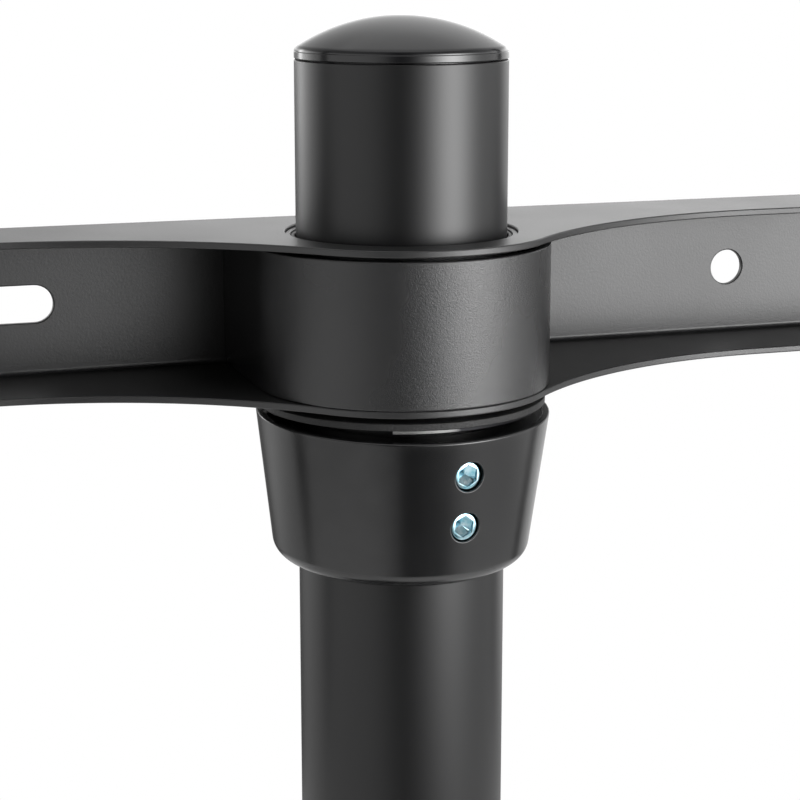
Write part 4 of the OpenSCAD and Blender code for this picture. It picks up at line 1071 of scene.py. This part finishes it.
for node, body in footBodies.items():
    low, high = nodeBox(node)
    seat = np.array([(low[0] + high[0]) / 2, (low[1] + high[1]) / 2, 0])
    title = "".join(word.capitalize() for word in node.split("_"))
    addPiece("pad" + title, [placed(revolve(padRun, 72), shift=seat)], body, "footRubber", [node])
    half = sheetSolid(cheek, [], foot["slotDepth"], 0.2, origin=(0, 0, foot["studTop"] - foot["slotDepth"] / 2),
                      edgeSteps=2)
    stud = [placed(revolve(studRun, 40), shift=seat)]
    stud += [placed(p, turnMatrix("z", turn), seat) for turn in (25, 205) for p in half]
    addPiece("stud" + title, stud, body, "zincSteel")

cover = {"r": 90.0, "height": 36.0, "wall": 2.5, "neckR": 30.3, "neck": 4.0, "low": 20.0}
crown, roof = cover["neckR"] + cover["neck"], cover["height"] - cover["wall"]
run = joinRuns(ellipseRun(crown, 0, cover["r"] - crown, cover["height"], 0, 90),
               roundRun([(crown, cover["height"], 0), (cover["neckR"], cover["height"], 0.8),
                         (cover["neckR"], roof, 0.3), (crown, roof, 0)], 4, False),
               ellipseRun(crown, 0, cover["r"] - crown - cover["wall"], roof, 90, 0))
addPiece("footCover", [placed(revolve(run, 144), shift=(0, 0, cover["low"]))], "root", "polePaint", ["foot_cover"])
print("base made")

# Shelf: sleeve and two tapered arms, two cross bars, pads and the glass panel
shelf = {"armX": 34.5, "armThick": 3.0, "armTop": 486.0, "armBack": -20.0, "armTip": 237.0, "armHeight": 45.0,
         "tipHeight": 18.0, "knee": 36.0, "edge": 0.5, "barLength": 320.0, "barWidth": 26.0, "barThick": 3.0,
         "barCorner": 10.0, "barYs": (72.0, 217.0), "padR": 11.0, "padX": 140.0, "padThick": 3.0,
         "panelWidth": 460.0, "panelDepth": 205.0, "panelThick": 8.0, "panelCorner": 18.0, "panelEdge": 1.2,
         "panelY": 144.5, "top": 500.0, "sleeveR": 33.0, "innerR": 30.3}
parts = [tube(shelf["sleeveR"], shelf["innerR"], *lowHigh("shelf_sleeve"), shelf["edge"])]
addPiece("shelfSleeve", parts, "shelf", "powderCoat", ["shelf_sleeve"])
parts = [tube(washer["outerR"], washer["innerR"], *lowHigh("shelf_washer"), washer["edge"])]
addPiece("shelfWasher", parts, "shelf_stop", "washerPlastic", ["shelf_washer"])
arm = roundRun([(shelf["armBack"], -shelf["armHeight"], 3), (shelf["knee"], -shelf["armHeight"], 12),
                (shelf["armTip"], -shelf["tipHeight"], 5), (shelf["armTip"], 0, 1.5), (shelf["armBack"], 0, 1.5)], 8)
for side, label in ((-1, "left"), (1, "right")):
    parts = sheetSolid(arm, [], shelf["armThick"], shelf["edge"], axes=sideAxes,
                       origin=(side * shelf["armX"], 0, shelf["armTop"]))
    addPiece("shelfArm" + label.capitalize(), parts, "shelf", "powderCoat", ["shelf_arm_" + label])
crossBar = rectRun(shelf["barLength"], shelf["barWidth"], shelf["barCorner"], 8)
low, padParts = shelf["armTop"] + shelf["barThick"], []
high = low + shelf["padThick"]
padSide = roundRun([(0, low, 0), (shelf["padR"], low, 0.5), (shelf["padR"], high, 0.8), (0, high, 0)], 4)
for y, label in zip(shelf["barYs"], ("rear", "front")):
    parts = sheetSolid(crossBar, [], shelf["barThick"], shelf["edge"],
                       origin=(0, y, shelf["armTop"] + shelf["barThick"] / 2))
    addPiece("shelfBar" + label.capitalize(), parts, "shelf", "powderCoat", ["shelf_bar_" + label])
    padParts += [placed(revolve(padSide, 48), shift=(x, y, 0)) for x in (-shelf["padX"], shelf["padX"])]
addPiece("shelfPads", padParts, "shelf", "footRubber", ["shelf_pads"])
parts = sheetSolid(rectRun(shelf["panelWidth"], shelf["panelDepth"], shelf["panelCorner"], 16), [], shelf["panelThick"],
                   shelf["panelEdge"], origin=(0, shelf["panelY"], shelf["top"] - shelf["panelThick"] / 2))
addPiece("shelfPanel", parts, "shelf", "shelfGlass", ["shelf_panel"])
print("shelf made")

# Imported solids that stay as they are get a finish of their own
keptFinishes = {"pole_plate": "powderCoat", "pole_bolts": "zincSteel", "pole_bolt_washers": "zincSteel",
                "pole_bolt_nuts": "zincSteel"}
for name, node in cadNodes.items():
    if name not in dressedNodes:
        node.data.materials.clear()
        node.data.materials.append(finishes[keptFinishes[name]])

# Floor: pale, keeps the stand's shadow, and turns to pure white far from the stand for camera and gloss
floor = {"size": 12.0, "white": (1.2, 2.0), "tone": (0.82, 0.82, 0.82)}


def bareMaterial(name):
    # A material without nodes, and its tree
    material = bpy.data.materials.new(name)
    material.use_nodes = True
    material.node_tree.nodes.clear()
    return material, material.node_tree


def eyeRays(tree):
    # 1 for rays of camera, gloss and glass, 0 for the light on matt surfaces
    paths = tree.nodes.new("ShaderNodeLightPath")
    seen = addMath(tree, "MAXIMUM", paths.outputs["Is Camera Ray"], paths.outputs["Is Glossy Ray"])
    return addMath(tree, "MAXIMUM", seen, paths.outputs["Is Transmission Ray"])


s = floor["size"]
floorMesh = bpy.data.meshes.new("studioFloor")
floorMesh.from_pydata([(-s, -s, 0), (s, -s, 0), (s, s, 0), (-s, s, 0)], [], [(0, 1, 2, 3)])
floorPiece = linkObject("studioFloor", floorMesh)
floorPaper, tree = bareMaterial("floorPaper")
place = tree.nodes.new("ShaderNodeTexCoord").outputs["Object"]
reach = addNode(tree, "ShaderNodeVectorMath", operation="LENGTH")
tree.links.new(place, reach.inputs[0])
far = addMath(tree, "MULTIPLY", addRange(tree, reach.outputs["Value"], *floor["white"]), eyeRays(tree))
paper = tree.nodes.new("ShaderNodeBsdfDiffuse")
paper.inputs["Color"].default_value = floor["tone"] + (1.0,)
glow = tree.nodes.new("ShaderNodeEmission")
blend = tree.nodes.new("ShaderNodeMixShader")
tree.links.new(far, blend.inputs[0])
tree.links.new(paper.outputs[0], blend.inputs[1])
tree.links.new(glow.outputs[0], blend.inputs[2])
result = tree.nodes.new("ShaderNodeOutputMaterial")
tree.links.new(blend.outputs[0], result.inputs["Surface"])
floorPiece.data.materials.append(floorPaper)

# World: white where camera, gloss and glass see it, softer as light on matt surfaces
worldLevel = {"diffuse": 0.6}
bpy.context.scene.view_settings.view_transform = "Standard"
world = bpy.data.worlds.new("studioWorld")
bpy.context.scene.world = world
world.use_nodes = True
tree = world.node_tree
background = tree.nodes["Background"]
tree.links.new(addRange(tree, eyeRays(tree), 0, 1, worldLevel["diffuse"], 1.0), background.inputs["Strength"])
background.inputs["Color"].default_value = (1, 1, 1, 1)

# Camera at the photograph's place, looking down at the crossbar
view = {"place": (-180.35, -539.08, 1247.67), "way": (0.31658, 0.94857), "down": 12.600, "lens": 90.63}
camera = bpy.data.cameras.new("photoCamera")
camera.lens = view["lens"]
camera.sensor_width = 36.0
camera.clip_start = 0.02
camera.clip_end = 200.0
cameraPiece = linkObject("photoCamera", camera)
drop = math.radians(view["down"])
aim = Vector((view["way"][0] * math.cos(drop), view["way"][1] * math.cos(drop), -math.sin(drop)))
cameraPiece.location = [v * mm for v in view["place"]]
cameraPiece.rotation_euler = aim.to_track_quat("-Z", "Y").to_euler()
bpy.context.scene.camera = cameraPiece

# Studio lamps round the stand. Azimuth is counted from the camera's side, to its right.
cameraSide = math.degrees(math.atan2(-view["way"][1], -view["way"][0]))


def addLamp(name, azimuth, distance, height, size, power, lookAt):
    # A soft rectangular light that camera and gloss don't see
    light = bpy.data.lights.new(name, "AREA")
    light.shape = "RECTANGLE"
    light.size, light.size_y = size
    light.energy = power
    lamp = linkObject(name, light)
    a = math.radians(cameraSide + azimuth)
    lamp.location = (distance * math.cos(a), distance * math.sin(a), height)
    lamp.rotation_euler = (Vector(lookAt) - lamp.location).to_track_quat("-Z", "Y").to_euler()
    lamp.visible_camera = lamp.visible_glossy = False


# Graded backdrop that only gloss sees: white, with a grey band near the floor and a dark upper wall under a light
# lid, dark lobes round the camera and behind on the left, and bright lobes where the soft lamps shine. A lobe is
# size exp(-(turn / spread)^2 / 2). Each pair is (low down, high up), "fade" gives the heights between them, and
# "above" the share of a bright lobe that is left on the upper wall.
backdrop = {
    "radius": 1.2, "top": 2.4, "band": 0.5, "bandZ": 0.53, "bandSpread": 0.08, "upper": (1.36, 1.60), "sky": 0.32,
    "lid": 0.95, "wallRows": 60, "lidRows": 8,
    "dark": [{"at": (22.0, 2.0), "size": (1.9, 1.05), "spread": (17.0, 16.0), "fade": (0.45, 0.50)},
             {"at": (-156.0, -156.0), "size": (0.0, 0.9), "spread": (14.0, 14.0), "fade": (0.44, 0.50)}],
    "bright": [{"at": (54.5, 54.5), "size": (0.0, 10.8), "spread": (13.5, 13.5), "fade": (0.62, 1.04)},
               {"at": (-122.0, -122.0), "size": (0.0, 1.6), "spread": (8.0, 8.0), "fade": (1.00, 1.10)},
               {"at": (-135.0, -135.0), "size": (0.0, 6.0), "spread": (2.5, 2.5), "fade": (1.02, 1.10)},
               {"at": (175.0, 175.0), "size": (0.0, 2.1), "spread": (40.0, 40.0), "fade": (1.10, 1.32),
                "above": 0.4}]}


def addBackdrop(b):
    # A cylinder wall with a lid: x = R cos a, y = R sin a, and on the lid the radius shrinks to a small hole
    wallRows, lidRows = b["wallRows"], b["lidRows"]
    radius = np.concatenate([np.full(wallRows, b["radius"]), b["radius"] * np.linspace(1, 0.01, lidRows + 1)[1:]])
    level = np.concatenate([np.linspace(0.002, b["top"], wallRows), np.full(lidRows, b["top"])])
    turn, height = np.meshgrid(np.arange(0, 360, 3.0), level)
    a = np.radians(turn + cameraSide)
    r = np.broadcast_to(radius[:, None], a.shape)
    spots = np.stack([r * np.cos(a), r * np.sin(a), height], -1)
    points, _, _, faces = gridPart(spots, np.zeros(spots.shape), np.zeros((1, 1)), wrapCols=True)

    def lobe(part):
        # The share t = 3 u^2 - 2 u^3 of the way from the low value to the high one, u along the fade
        u = np.clip((height - part["fade"][0]) / (part["fade"][1] - part["fade"][0]), 0, 1)
        at, size, spread = (low + (high - low) * u * u * (3 - 2 * u)
                            for low, high in (part["at"], part["size"], part["spread"]))
        away = (turn - at + 180) % 360 - 180
        return size * np.exp(-(away / spread) ** 2 / 2)

    over = np.clip((height - b["upper"][0]) / (b["upper"][1] - b["upper"][0]), 0, 1)
    strength = 1 - b["band"] * np.exp(-((height - b["bandZ"]) / b["bandSpread"]) ** 2 / 2)
    for part in b["dark"]:
        strength = strength * np.clip(1 - lobe(part), 0, 1)
    strength = strength * (1 - over * (1 - b["sky"]))
    for part in b["bright"]:
        strength = strength + lobe(part) * (1 - over * (1 - part.get("above", 0)))
    lid = np.clip(4 * (1 - r / b["radius"]), 0, 1)
    strength = strength + (b["lid"] - strength) * lid
    mesh = bpy.data.meshes.new("glossBackdrop")
    mesh.from_pydata(points.tolist(), [], faces.tolist())
    mesh.attributes.new("strength", "FLOAT", "POINT").data.foreach_set("value", strength.ravel().astype(np.float32))
    wall = linkObject("glossBackdrop", mesh)
    cloth, tree = bareMaterial("backdropCloth")
    glow = tree.nodes.new("ShaderNodeEmission")
    level = addNode(tree, "ShaderNodeAttribute", attribute_name="strength").outputs["Fac"]
    tree.links.new(level, glow.inputs["Strength"])
    tree.links.new(glow.outputs[0], tree.nodes.new("ShaderNodeOutputMaterial").inputs["Surface"])
    mesh.materials.append(cloth)
    wall.visible_camera = wall.visible_diffuse = wall.visible_shadow = wall.visible_transmission = False


addBackdrop(backdrop)
addLamp("stripRight", 58, 1.4, 1.5, (1.1, 1.6), 40, (0, 0, 1.15))
addLamp("softTop", 0, 0.6, 3.0, (1.6, 1.6), 25, (0, 0, 1.15))
print("floor, world, camera and lamps made")
